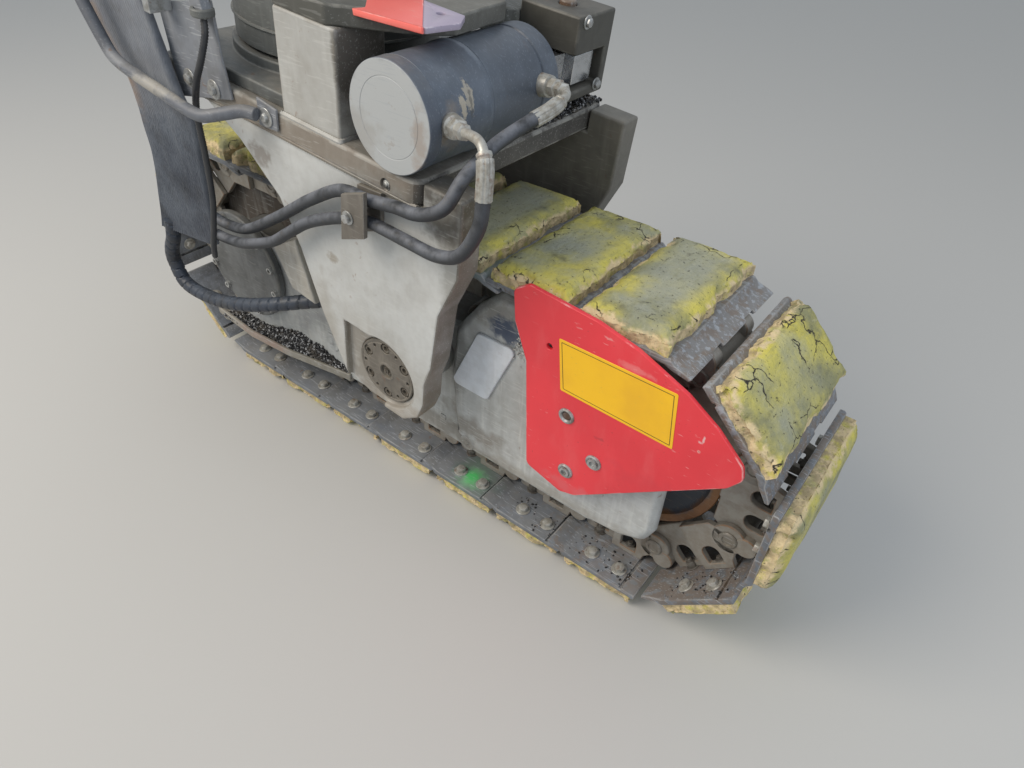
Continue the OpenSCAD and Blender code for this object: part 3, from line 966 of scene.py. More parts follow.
@dataclass(frozen=True)
class PlatedSteel:
    """Zinc-plated or chromed steel: metal that reflects, dulled by weather and rust bloom."""

    name: str
    colour: str = "b4b6b5"
    dull: str = "77756e"
    roughness: float = 0.38
    dulling: float = 0.7
    rusting: float = 0.35
    metallic: float = 0.55

    def material(self) -> Material:
        """Builds the finish.

        Returns:
            The material.
        """
        s = Surface(self.name, self.colour)
        dull = s.times(s.patches(7, 0.4, 0.65, 1.0, detail=6.0), self.dulling)
        s.lay(dull, self.dull)
        bloom = s.times(s.patches(6, 0.58, 0.66, 3.0, detail=6.0), self.rusting)
        s.lay(bloom, "7a5136")
        rough = s.add("MapRange", {"Value": dull, "To Min": self.roughness,
                                   "To Max": min(1.0, self.roughness + 0.3)}).outputs[0]
        return s.done(rough, s.bump(s.patches(2, 0.2, 0.8, 2.0), 0.05), self.metallic)


@dataclass(frozen=True)
class SleeveFabric:
    """Woven nylon hose sleeve, slate grey, its ribs along it and its left edge frayed and rusty."""

    name: str = "sleeve_fabric"
    colour: str = "565b64"
    faded: str = "737981"
    rusty: str = "7c6248"
    thread: float = 1.2

    def material(self) -> Material:
        """Builds the finish, its thread drawn as coarse as it needs to show.

        Returns:
            The material.
        """
        s = Surface(self.name, self.colour)
        s.lay(s.patches(70, 0.35, 0.65, 1.0, detail=6.0), self.faded)
        line = s.times(s.patches(5, 0.45, 0.7, 1.7, stretch=(1.0, 1.0, 0.08), detail=5.0), 0.25)
        s.lay(line, "84878b")
        grime = s.times(s.patches(38, 0.5, 0.72, 1.9, detail=7.0), 0.45)
        s.lay(grime, "3b3a38")
        frayed = s.times(s.attribute("edge"), s.patches(26, 0.36, 0.55, 2.0, detail=6.0))
        s.lay(frayed, self.rusty)
        weave = s.patches(self.thread, 0.3, 0.7, 3.0, stretch=(1.0, 1.0, 0.4), detail=1.0)
        return s.done(0.75, s.bump(weave, 0.35), Sheen_Weight=0.25, Sheen_Roughness=0.5)


@dataclass(frozen=True)
class Bitumen:
    """Crushed asphalt: grains of glossy black bitumen and of pale broken stone."""

    name: str = "crushed_asphalt"
    black: str = "1e1e1f"
    stone: str = "a6a7a8"
    share: float = 0.57

    def material(self) -> Material:
        """Builds the finish.

        Returns:
            The material.
        """
        s = Surface(self.name, self.black)
        pale = s.patches(3.2, self.share, self.share + 0.04, 1.0, detail=1.0)
        s.lay(pale, self.stone)
        s.lay(s.times(s.patches(16, 0.5, 0.65, 4.0), 0.5), "5c554b")
        return s.done(0.45, s.bump(s.patches(1, 0.2, 0.8, 2.0), 0.2))


@dataclass(frozen=True)
class SignFilm:
    """Vinyl sign film: even, satin, a little dulled and nicked where dirt has rubbed it."""

    name: str
    colour: str
    dull: str

    def material(self) -> Material:
        """Builds the finish.

        Returns:
            The material.
        """
        s = Surface(self.name, self.colour)
        s.lay(s.patches(50, 0.4, 0.75, 1.0, detail=5.0), self.dull)
        nick = s.times(s.patches(1.8, 0.68, 0.72, 2.0, stretch=(0.3, 1.0, 1.0), detail=2.0), 0.5)
        s.lay(nick, "d8b24a")
        return s.done(0.4, s.bump(s.patches(20, 0.2, 0.8, 3.0), 0.03))


# Camera, light and floor


@dataclass
class Studio:
    """A pale floor, soft light and the camera at the photograph's viewing angle."""

    eye: Point = (0.86449, -0.90720, 1.17822)
    yaw: float = 2.20452271
    pitch: float = 0.692979271
    roll: float = 0.0455168
    focal_pixels: float = 699.73
    sensor: float = 36.0
    floor_half: float = 9.0

    def camera(self) -> None:
        """Makes the scene's camera."""
        ahead = Vector((math.cos(self.pitch) * math.cos(self.yaw),
                        math.cos(self.pitch) * math.sin(self.yaw), -math.sin(self.pitch)))
        level = Vector((math.sin(self.yaw), -math.cos(self.yaw), 0.0))
        up = level.cross(ahead)
        right = level * math.cos(self.roll) + up * math.sin(self.roll)
        up = up * math.cos(self.roll) - level * math.sin(self.roll)
        data = bpy.data.cameras.new("camera")
        data.sensor_width = self.sensor
        data.lens = self.focal_pixels * self.sensor / IMAGE_SIZE[0]
        data.clip_start = 0.01
        made = placed("camera", data)
        turn = Matrix((right, up, -ahead)).transposed().to_4x4()
        made.matrix_world = Matrix.Translation(self.eye) @ turn
        bpy.context.scene.camera = made

    def floor(self) -> None:
        """Lays the pale floor."""
        bm = bmesh.new()
        bmesh.ops.create_grid(bm, x_segments=1, y_segments=1, size=self.floor_half)
        mesh = bpy.data.meshes.new("floor")
        bm.to_mesh(mesh)
        bm.free()
        mesh.materials.append(Surface("pale_floor", "bdbcb8").done(0.9, None))
        placed("floor", mesh)

    def lamp(self, name: str, place: Point, target: Point, size: float, power: float, tint: str) -> None:
        """Adds one soft lamp.

        Args:
            name: The lamp's name.
            place: Where it hangs.
            target: What it points at.
            size: Side of its square face.
            power: Watts.
            tint: sRGB hex colour of its light.
        """
        data = bpy.data.lights.new(name, "AREA")
        data.size = size
        data.energy = power
        data.color = linear(tint)[:3]
        turn = (Vector(target) - Vector(place)).to_track_quat("-Z", "Y")
        placed(name, data).matrix_world = Matrix.Translation(place) @ turn.to_matrix().to_4x4()

    def light(self) -> None:
        """Sets an even sky and two soft lamps, with hex colours shown as they are."""
        bpy.context.scene.view_settings.view_transform = "Standard"
        world = bpy.data.worlds.new("soft_sky")
        bpy.context.scene.world = world
        world.use_nodes = True
        back = world.node_tree.nodes["Background"]
        back.inputs["Color"].default_value = linear("dde4ec")
        back.inputs["Strength"].default_value = 0.7
        self.lamp("key_lamp", (-1.6, -2.6, 3.4), (0.0, 0.0, 0.4), 2.4, 130.0, "fff4e6")
        self.lamp("fill_lamp", (2.8, -0.6, 2.2), (0.2, 0.0, 0.4), 2.6, 25.0, "e8f0ff")


# Hoses and cords


@dataclass
class Hoses:
    """Two cylinder hoses, the motor hose in its spiral wrap and the thin corrugated conduit."""

    hose_r: float = 0.010
    wrapped_r: float = 0.015
    conduit_r: float = 0.006
    rib_step: float = 0.0045
    wrap_pitch: float = 0.024
    hose_near: tuple[Point, ...] = (
        (222, -272, 461.7), (220, -275, 419), (193, -275, 367), (149, -272, 343), (92, -268, 336),
        (38, -265, 332), (-2, -262, 326), (-66, -262, 305), (-142, -264, 264), (-195, -267, 222),
        (-247, -270, 180), (-329, -270, 138), (-395, -262, 112), (-440, -262, 105))
    hose_far: tuple[Point, ...] = (
        (178, -80.3, 513), (167, -130, 498), (157, -180, 478), (158, -236, 452), (150, -263, 415),
        (105, -264, 386), (58, -264, 378), (0, -262, 364), (-61, -262, 355), (-136, -260, 307),
        (-187, -257, 268), (-238, -254, 229), (-339, -253, 158), (-400, -258, 142), (-445, -262, 145))
    conduit: tuple[Point, ...] = (
        (-352, -262, 522), (-347, -268, 500), (-352, -280, 462), (-368, -285, 425), (-384, -285, 372),
        (-384, -285, 295), (-388, -285, 213), (-396, -290, 150), (-402, -294, 110), (-420, -286, 74),
        (-445, -270, 95))
    wrapped: tuple[Point, ...] = (
        (-590, -270, 75), (-600, -270, 30), (-625, -268, -15), (-632, -265, -55), (-600, -265, -98),
        (-500, -262, -88), (-400, -255, -52), (-320, -235, -18), (-255, -203, 8), (-200, -176, 28),
        (-160, -169, 46), (-128, -169, 60))

    def hose(self, name: str, points: tuple[Point, ...], material: Material) -> None:
        """Args:
            name: The CAD node that it stands for.
            points: Its route in the yoke's frame, in millimetres.
            material: Its finish.
        """
        line = smooth_route(YOKE.route(points), 0.008)
        shape = Shape()
        sweep(shape, line, lambda gone, turn: self.hose_r, 18)
        made = shape.finish(name + "_rubber", Body.YOKE, "hose_rubber", material, (name,))

    def ribbed(self, material: Material) -> None:
        """Args:
            material: Its finish.
        """
        line = smooth_route(YOKE.route(self.conduit), self.rib_step / 2)
        shape = Shape()
        sweep(shape, line, lambda gone, turn: self.conduit_r * (
            0.9 + 0.1 * math.cos(gone / self.rib_step * math.tau)), 12)
        made = shape.finish("conduit_tube", Body.YOKE, "hose_rubber", material, ("conduit",), smooth=60.0)

    def spiral(self, material: Material) -> None:
        """Args:
            material: Its finish.
        """
        line = smooth_route(YOKE.route(self.wrapped), 0.003)

        def radius(gone: float, turn: float) -> float:
            """Radius of the wrap, with a groove between its turns."""
            return self.wrapped_r * (0.85 if (gone / self.wrap_pitch + turn) % 1.0 < 0.14 else 1.0)

        shape = Shape()
        sweep(shape, line, radius, 20)
        made = shape.finish("wrapped_hose_cover", Body.YOKE, "hose_rubber", material, ("wrapped_hose",))

    def build(self) -> None:
        """Builds every cord."""
        rubber = HoseRubber().material()
        self.hose("hose_near", self.hose_near, rubber)
        self.hose("hose_far", self.hose_far, rubber)
        self.ribbed(HoseRubber("conduit_nylon", "2a2c30", "62605b", 0.4, 0.45).material())
        self.spiral(HoseRubber("spiral_wrap", "2b323e", "565e69", 0.5, 0.45).material())


# Track


@dataclass
class TrackLoop:
    """The chain of 20 links with its steel shoes and the plastic pads on them."""

    pitch: float = 0.17145
    run_links: int = 7
    turn: float = math.radians(45)
    pin_height: float = 0.103
    shoe_width: float = 0.300
    shoe_thick: float = 0.012
    shoe_seam: float = 0.003
    shoe_lead: float = 0.014
    pad_thick: float = 0.032
    pad_length: float = 0.150
    chain_half: float = 0.070
    link_thick: float = 0.024
    boss_r: float = 0.031
    pin_r: float = 0.017
    bushing_r: float = 0.029
    rail_rise: float = 0.038
    rail_short: float = 0.020
    notch_r: float = 0.0565
    bolt_y: float = 0.115
    bolt_x: float = 0.031
    pad_grid: float = 0.0044

    def links(self) -> list[Matrix]:
        """Where each link stands.

        Returns:
            The links' places, with the origin between two pins and x along the chain.
        """
        wheel_x = (self.run_links - 1) * self.pitch / 2
        apothem = self.pitch / 2 / math.tan(self.turn / 2)
        wheel_z = self.pin_height + apothem
        row = [(k - (self.run_links - 1) / 2) * self.pitch for k in range(self.run_links)]
        places = [(x, self.pin_height, 0.0) for x in row]
        bends = [k * self.turn for k in (1, 2, 3)]
        places += [(wheel_x + apothem * math.sin(a), wheel_z - apothem * math.cos(a), a) for a in bends]
        places += [(-x, wheel_z + apothem, math.pi) for x in row]
        places += [(-wheel_x - apothem * math.sin(a), wheel_z + apothem * math.cos(a), math.pi + a)
                   for a in bends]
        return [about_y(-a, (x, 0.0, z)) for x, z, a in places]

    def pad_block(self, half_l: float, half_w: float) -> Shape:
        """One whole pad: its road side as a grid at z 0, walls up to the shoe and a closed back.

        Args:
            half_l: Half its length.
            half_w: Half its width.

        Returns:
            The pad.
        """
        pad = Shape()
        cols, rows, steps = round(2 * half_l / self.pad_grid), round(2 * half_w / self.pad_grid), 5
        bmesh.ops.create_grid(pad.bm, x_segments=cols, y_segments=rows, size=1.0,
                              matrix=Matrix.Diagonal((half_l, half_w, 1.0, 1.0)))
        rim = [edge for edge in pad.bm.edges if edge.is_boundary]
        for _ in range(steps):
            before = set(pad.bm.verts)
            bmesh.ops.extrude_edge_only(pad.bm, edges=rim)
            lifted = [vert for vert in pad.bm.verts if vert not in before]
            bmesh.ops.translate(pad.bm, verts=lifted, vec=(0.0, 0.0, self.pad_thick / steps))
            rim = [edge for edge in pad.bm.edges if edge.is_boundary]
        bmesh.ops.contextual_create(pad.bm, geom=rim)
        pad.fresh(set())
        return pad

    def pads(self) -> None:
        """Builds the ragged, cracked pads."""
        whole = Shape()
        rng = random.Random(11)
        half_l, half_w = self.pad_length / 2, self.shoe_width / 2
        low = Matrix.Translation((self.shoe_lead, 0.0, -self.pin_height))
        for place in self.links():
            seed = Vector((rng.uniform(0, 50), rng.uniform(0, 50), rng.uniform(0, 50)))
            pad = self.pad_block(half_l, half_w)
            self.tear(pad, seed, half_l, half_w, 0.5 if place.translation.z > 0.3 else 1.0,
                      0.5 if place.translation.x > 0.56 else 1.0)
            whole.stamp(pad, [place @ low])
        whole.finish(
            "plastic_pads", Body.TRACK, "pad_plastic", PadPlastic().material(), ("track_pads",), 60.0)

    def tear(self, pad: Shape, seed: Vector, half_l: float, half_w: float, ends: float,
             scuffing: float) -> None:
        """Makes a pad's edges ragged and its face worn, and marks its middle, torn rim and walls.

        Args:
            pad: The pad, its road side at z 0.
            seed: Where in the noise this pad lies.
            half_l: Half its length.
            half_w: Half its width.
            ends: How much of the torn core shows on its two ends.
            scuffing: How far its middle is rubbed grey, 1 as on the straight runs.
        """
        layers = {name: pad.bm.verts.layers.float.new(name) for name in ("middle", "torn", "wall")}
        for vert in pad.bm.verts:
            x, y, z = vert.co
            gap = min(half_l - abs(x), half_w - abs(y))
            deep = z / self.pad_thick
            broad = noise.noise(Vector((x, y, 0.0)) * 13 + seed)
            coarse = noise.noise(Vector((x, y, z * 0.4)) * 34 + seed)
            fine = noise.noise(Vector((x, y, z)) * 110 + seed)
            bite = max(0.0, noise.noise(Vector((x * 24, y * 24, 3.0)) + seed) - 0.28)
            push = 0.004 * broad + 0.006 * coarse + 0.003 * fine + 0.030 * bite * (1 - 0.5 * deep)
            inward = max(0.0, 1 - gap / 0.028)
            if half_l - abs(x) < half_w - abs(y):
                vert.co.x -= math.copysign(inward * (0.003 + push), x)
            else:
                vert.co.y -= math.copysign(inward * max(0.0, 0.0035 + push * 1.8), y)
            band = 0.0040 + 0.010 * noise.noise(Vector((x * 26, y * 26, 1.0)) + seed) + 0.02 * bite
            torn = 1.0 if gap < band else 0.0
            if deep < 0.5:
                dent = max(0.0, noise.noise(Vector((x * 22, y * 22, 9.0)) + seed))
                drop = 0.0120 * max(0.0, 1 - gap / 0.024) ** 1.8 + 0.0012 * torn + 0.012 * bite * inward
                drop += 0.0022 * dent + 0.001 * abs(fine)
                vert.co.z += (1 - 2 * deep) * drop
            facing = ends if half_l - abs(x) > half_w - abs(y) else 1.0
            vert[layers["torn"]] = max(torn, min(1.0, deep * 3.0 * facing))
            vert[layers["wall"]] = min(1.0, deep * 2.2 * facing)
            vert[layers["middle"]] = scuffing * min(1.0, max(0.0, (gap - 0.012) / 0.034))

    def shoe_profile(self) -> Outline:
        """A shoe's section along the chain: flat plate, and a lip that curls in behind the pin.

        Returns:
            Its corners in x and z.
        """
        inner = -self.pin_height + self.pad_thick + self.shoe_thick
        outer = inner - self.shoe_thick
        ahead = self.shoe_lead + (self.pitch - self.shoe_seam) / 2
        behind = self.shoe_lead - (self.pitch - self.shoe_seam) / 2
        return [
            (ahead - 0.003, outer), (ahead, outer + 0.004), (ahead, inner), (ahead - 0.0280, inner),
            (ahead - 0.0290, inner - 0.0040), (ahead - 0.0330, inner - 0.0040), (ahead - 0.0340, inner),
            (behind + 0.012, inner), (behind, inner + 0.005), (behind - 0.014, inner + 0.008),
            (behind - 0.028, inner + 0.011), (behind - 0.032, inner + 0.006),
            (behind - 0.020, inner + 0.001), (behind - 0.003, inner - 0.004), (behind + 0.006, outer)]

    def mark_seam(self, shoe: Shape) -> None:
        """Marks the groove at the neighbour's lip, which is painted dark as shade in the seam.

        Args:
            shoe: The shoe.
        """
        middle = self.shoe_lead + (self.pitch - self.shoe_seam) / 2 - 0.031
        inner = -self.pin_height + self.pad_thick + self.shoe_thick
        layer = shoe.bm.faces.layers.float.new("turned")
        for face in shoe.bm.faces:
            centre = face.calc_center_median()
            face[layer] = 1.0 if abs(centre.x - middle) < 0.0045 and centre.z < inner - 0.0006 else 0.0

    def shoes(self) -> None:
        """Builds the steel shoes, their lips notched where the round ends of the links reach through."""
        one = Shape()
        one.plate(self.shoe_profile(), -self.shoe_width / 2, self.shoe_width / 2, None)
        notches = Shape()
        into = self.chain_half - self.link_thick
        for side in (-1, 1):
            notches.drum(self.notch_r, (-self.pitch / 2, side * (into - 0.004), 0),
                         (-self.pitch / 2, side * (self.chain_half + 0.003), 0), 40)
        one.cut(notches)
        one.round_edges(0.0016, 2, 40.0)
        self.mark_seam(one)
        shape = Shape()
        shape.stamp(one, self.links())
        green, lime = "2fd45c", "8fe89a"
        marks = (
            Mark((560, 0, 560), (150, 0, 110), "a9aeb3", 0.75, 1.1, 24.0, 0.9),
            Mark((560, 0, 560), (160, 0, 120), "6a6259", 0.6, 3.2, 6.0),
            Mark((675, 0, 430), (60, 0, 60), "8a7f74", 0.6, 1.1, 20.0, 0.9),
            Mark((640, 0, 250), (160, 0, 260), "7d6a57", 0.5, 3.0, 9.0, 0.6),
            Mark((0, 0, 40), (760, 0, 14), "8b9096", 0.35, 1.2, 30.0, 0.9),
            Mark((192, -105, 44), (40, 46, 0), "6f9a78", 0.5, 0.9, 14.0, 1.5),
            Mark((186, -114, 44), (22, 24, 0), lime, 0.45, 0.9, 9.0, 1.3),
            Mark((186, -112, 48), (14, 15, 0), green, 0.6, 0.7, 7.0, 1.0))
        # The turned colour paints shade in the seams between shoes.
        steel = WeatheredSteel(
            "shoe_steel", "6c7178", "8b9097", stain="4f4b46", rust="7f5a38", chip="a5a4a0", turned="1e1c1a",
            dust="86837b", pale="b2b6ba", mottle=0.35, stains=0.5, rusting=0.8, dusting=0.5, scratches=0.5,
            chipping=0.6, metallic=0.15, marks=marks)
        shape.finish("shoe_plates", Body.TRACK, "shoe_steel", steel.material(), ("track_shoes",))

    def link_half(self, side: int, end: int, y0: float, y1: float) -> Shape:
        """One end of a link's side, with a window over its bolt nut.

        Args:
            side: -1 or 1, for the outer or the machine side.
            end: 1 ahead, -1 behind.
            y0: Inner face.
            y1: Outer face.

        Returns:
            The plate, in the link's own place.
        """
        foot = self.pin_height - self.pad_thick - self.shoe_thick
        half = self.pitch / 2
        rail = half - self.rail_short
        low, high = sorted((side * y0, side * y1))
        outline = [(0.0, -foot), (rail, -foot), (rail + 0.004, -foot + 0.016), (half - 0.004, -0.030),
                   (half, -0.016), (half, 0.016), (rail, self.rail_rise), (0.0, self.rail_rise)]
        plate = Shape()
        plate.plate([(end * x, z) for x, z in outline], low, high)
        window = Shape()
        opening = [(0.017, -0.047), (0.051, -0.047), (0.051, -0.010), (0.017, -0.010)]
        window.plate([(end * x, z) for x, z in opening], low - 0.01, high + 0.01, None, 0.0155, [2, 3])
        plate.cut(window)
        plate.round_edges(0.0014, 1, 50.0)
        boss = plate.drum(self.boss_r, (end * half, low, 0), (end * half, high, 0), 28)
        plate.round_edges(0.002, 1, 50.0, boss)
        return plate

    def chain(self) -> None:
        """Builds the links with their nuts, the bushings and the pins."""
        one, pins, nuts = Shape(), Shape(), Shape()
        out, into = self.chain_half, self.chain_half - self.link_thick
        mid = out - self.link_thick / 2
        foot = self.pin_height - self.pad_thick - self.shoe_thick
        half = self.pitch / 2
        for side in (1, -1):
            for end, y0, y1 in ((1, mid, out), (-1, into, mid)):
                one.stamp(self.link_half(side, end, y0, y1), [Matrix.Identity(4)])
            ear = one.drum(
                0.021, (-half, side * (into - 0.002), -0.030), (-half, side * (out + 0.001), -0.030), 24)
            one.round_edges(0.002, 1, 50.0, ear)
            for x in (-0.034, 0.034):
                seat = Matrix.Translation((x, side * (mid - 0.001), -foot))
                nuts.stamp(fastener(Head.NUT, 0.0105, 0.011, 1.25), [seat])
        one.drum(self.bushing_r, (-half, -into, 0), (-half, into, 0), 28)
        head, r = out + 0.004, self.pin_r
        tip = [
            (0.0, head - 0.002), (r * 0.55, head - 0.002), (r * 0.62, head), (r - 0.002, head),
            (r, head - 0.002)]
        pin = pins.lathe([(radius, -y) for radius, y in tip] + tip[::-1], None, 28)
        bmesh.ops.translate(pins.bm, verts=pin, vec=(-half, 0.0, 0.0))
        chain, rods, bolts = Shape(), Shape(), Shape()
        chain.stamp(one, self.links())
        rods.stamp(pins, self.links())
        bolts.stamp(nuts, self.links())
        steel = WeatheredSteel(
            "link_steel", "9d9990", "aba79e", stain="75634f", rust="7d5634", chip="8f6a48", dust="8a8274",
            pale="a5a29a", mottle=0.35, stains=0.5, rusting=0.9, dusting=0.5, chipping=0.75, roughness=0.6,
            metallic=0.2, grit=0.15)
        chain.finish("chain_links", Body.TRACK, "chain_steel", steel.material(), ("track_chain",))
        pin_steel = WeatheredSteel(
            "pin_steel", "8a857b", "97928a", stain="6b5c4c", rust="805b3c", rusting=0.8, chip="a08a6c",
            metallic=0.3)
        rods.finish("chain_pins", Body.TRACK, "chain_steel", pin_steel.material())
        bolts.finish(
            "link_nuts", Body.TRACK, "chain_steel",
            PlatedSteel("nut_steel", "77736c", "514b43", 0.5, 0.8, 0.5, 0.3).material())

    def bolts(self) -> None:
        """Adds four bolts with washers to each shoe, seen from the chain's side."""
        shape = Shape()
        inner = -self.pin_height + self.pad_thick + self.shoe_thick
        spots = [Matrix.Translation((self.shoe_lead + x, y, inner))
                 for y in (-self.bolt_y, self.bolt_y) for x in (-self.bolt_x, self.bolt_x)]
        shape.stamp(
            fastener(Head.HEXAGON, 0.0105, 0.0085, 1.45), [p @ s for p in self.links() for s in spots])
        zinc = PlatedSteel("shoe_bolt_zinc", "b9b8b1", "857f73", 0.42, 0.7, 0.45, 0.35)
        shape.finish("shoe_bolts", Body.TRACK, "zinc_steel", zinc.material())

    def build(self) -> None:
        """Builds the whole loop."""
        self.chain()
        self.shoes()
        self.bolts()
        self.pads()


# Pieces dressed from their nodes


@dataclass(frozen=True)
class Dressed:
    """A CAD node whose edges are rounded and worn, with the weld beads that belong to it, and the faces of
    one side marked for painted shade when a direction is given.
    """

    node: str
    body: Body
    slot: str
    width: float = 0.003
    segments: int = 2
    # A direction whose faces get painted shade from the finish.
    turned: tuple[float, float, float] | None = None

    def build(self, material: Material, beads: tuple[list[Vector], ...] = (),
              bead: float = 0.0035) -> None:
        """Builds the piece in place of its node.

        Args:
            material: Its finish.
            beads: Lines that a weld bead runs along.
            bead: Radius of the beads.
        """
        shape = Shape()
        shape.cad(self.node)
        shape.round_edges(self.width, self.segments)
        shape.refill()
        if self.turned:
            shape.mark_painted_shade(Vector(self.turned))
        for line in beads:
            weld(shape, line, bead)
        shape.finish(self.node + "_dressed", self.body, self.slot, material, (self.node,), crisp=True)


def ring_line(centre: Vector, radius: float, sides: int = 48, matrix: Matrix | None = None) -> list[Vector]:
    """A closed circle about a Y axis, for a weld bead.

    Args:
        centre: Its middle.
        radius: Its radius.
        sides: Number of points.
        matrix: Where the circle goes.

    Returns:
        Its points, the first one repeated at the end.
    """
    turns = [math.tau * k / sides for k in range(sides + 1)]
    points = [centre + Vector((radius * math.cos(a), 0.0, radius * math.sin(a))) for a in turns]
    return points if matrix is None else [matrix @ point for point in points]


# Wheels and frame


@dataclass
class Wheels:
    """Idler, sprocket, rollers and the drive motor."""

    wheel_x: float = 0.51435
    wheel_z: float = 0.30996
    idler_r: float = 0.1687
    idler_half: float = 0.056
    axle_r: float = 0.0403
    screw_ring: float = 0.119
    motor_face: float = 0.132
    motor_end: float = 0.207

    def idler(self) -> None:
        """Builds the idler: a rust-brown rim around a dished, painted web."""
        tread, half, bore = self.idler_r, self.idler_half, self.axle_r
        side = [
            (bore, 0.050), (0.075, 0.050), (0.082, 0.046), (0.142, 0.048), (0.149, 0.053), (0.151, half),
            (tread - 0.002, half), (tread, half - 0.0025)]
        profile = side + [(radius, -y) for radius, y in reversed(side)] + [side[0]]
        shape = Shape()
        shape.lathe(profile, Matrix.Translation((self.wheel_x, 0.0, self.wheel_z)), 96)
        web = Mark((514.35, 0, 310), (149, 0, 149), "4b525a", 0.95, 0.1, 25.0, 0.06)
        rim = WeatheredSteel(
            "idler_steel", "7d5636", "8f6640", stain="3f3228", rust="8a4f28", chip="8a6f55", pale="94806a",
            stains=0.5, metallic=0.15, grit=0.12, marks=(web,))
        shape.finish("idler_dressed", Body.TRACK, "wheel_steel", rim.material(), ("idler_wheel",))

    def motor_screws(self, material: Material) -> None:
        """Adds the socket screws around the drive motor and its two oil ports.

        Args:
            material: Their finish.
        """
        shape = Shape()
        places = []
        for k in range(12):
            turn = math.tau * (k + 0.5) / 12
            x = -self.wheel_x + self.screw_ring * math.cos(turn)
            z = self.wheel_z + self.screw_ring * math.sin(turn)
            places += [outward((x, self.motor_face, z), 1), outward((x, -self.motor_face, z), -1)]
        shape.stamp(fastener(Head.SOCKET, 0.008, 0.007, 0.0), places)
        ports = [
            outward((-self.wheel_x + x, self.motor_end, self.wheel_z + 0.02), 1) for x in (-0.04, 0.04)]
        shape.stamp(fastener(Head.NUT, 0.019, 0.014, 1.2), ports)
        shape.finish("motor_screws", Body.TRACK, "zinc_steel", material)

    def build(self, zinc: Material) -> None:
        """Builds every wheel.

        Args:
            zinc: Finish of the screws.
        """
        self.idler()
        rust = WeatheredSteel(
            "roller_steel", "5b544c", "68615a", stain="36312c", rust="6f4a2e", chip="8d8172", stains=0.5,
            metallic=0.2, grit=0.12).material()
        for node in ("idler_axle", "drive_sprocket", "bottom_rollers", "roller_shafts", "carrier_rollers"):
            Dressed(node, Body.TRACK, "wheel_steel").build(rust)
        centre = Vector((-self.wheel_x, 0.0, self.wheel_z))
        bead = ring_line(centre + Vector((0.0, self.motor_face, 0.0)), 0.1015)
        casting = WeatheredSteel(
            "motor_enamel", "5a5d5f", "686b6c", stain="393732", rust="6d4a30", chip="85827a", pale="8a8c8b",
            dust="77746a", stains=0.5, dusting=0.6).material()
        Dressed("drive_motor", Body.TRACK, "frame_steel", 0.005, 3).build(casting, (bead,))
        self.motor_screws(zinc)


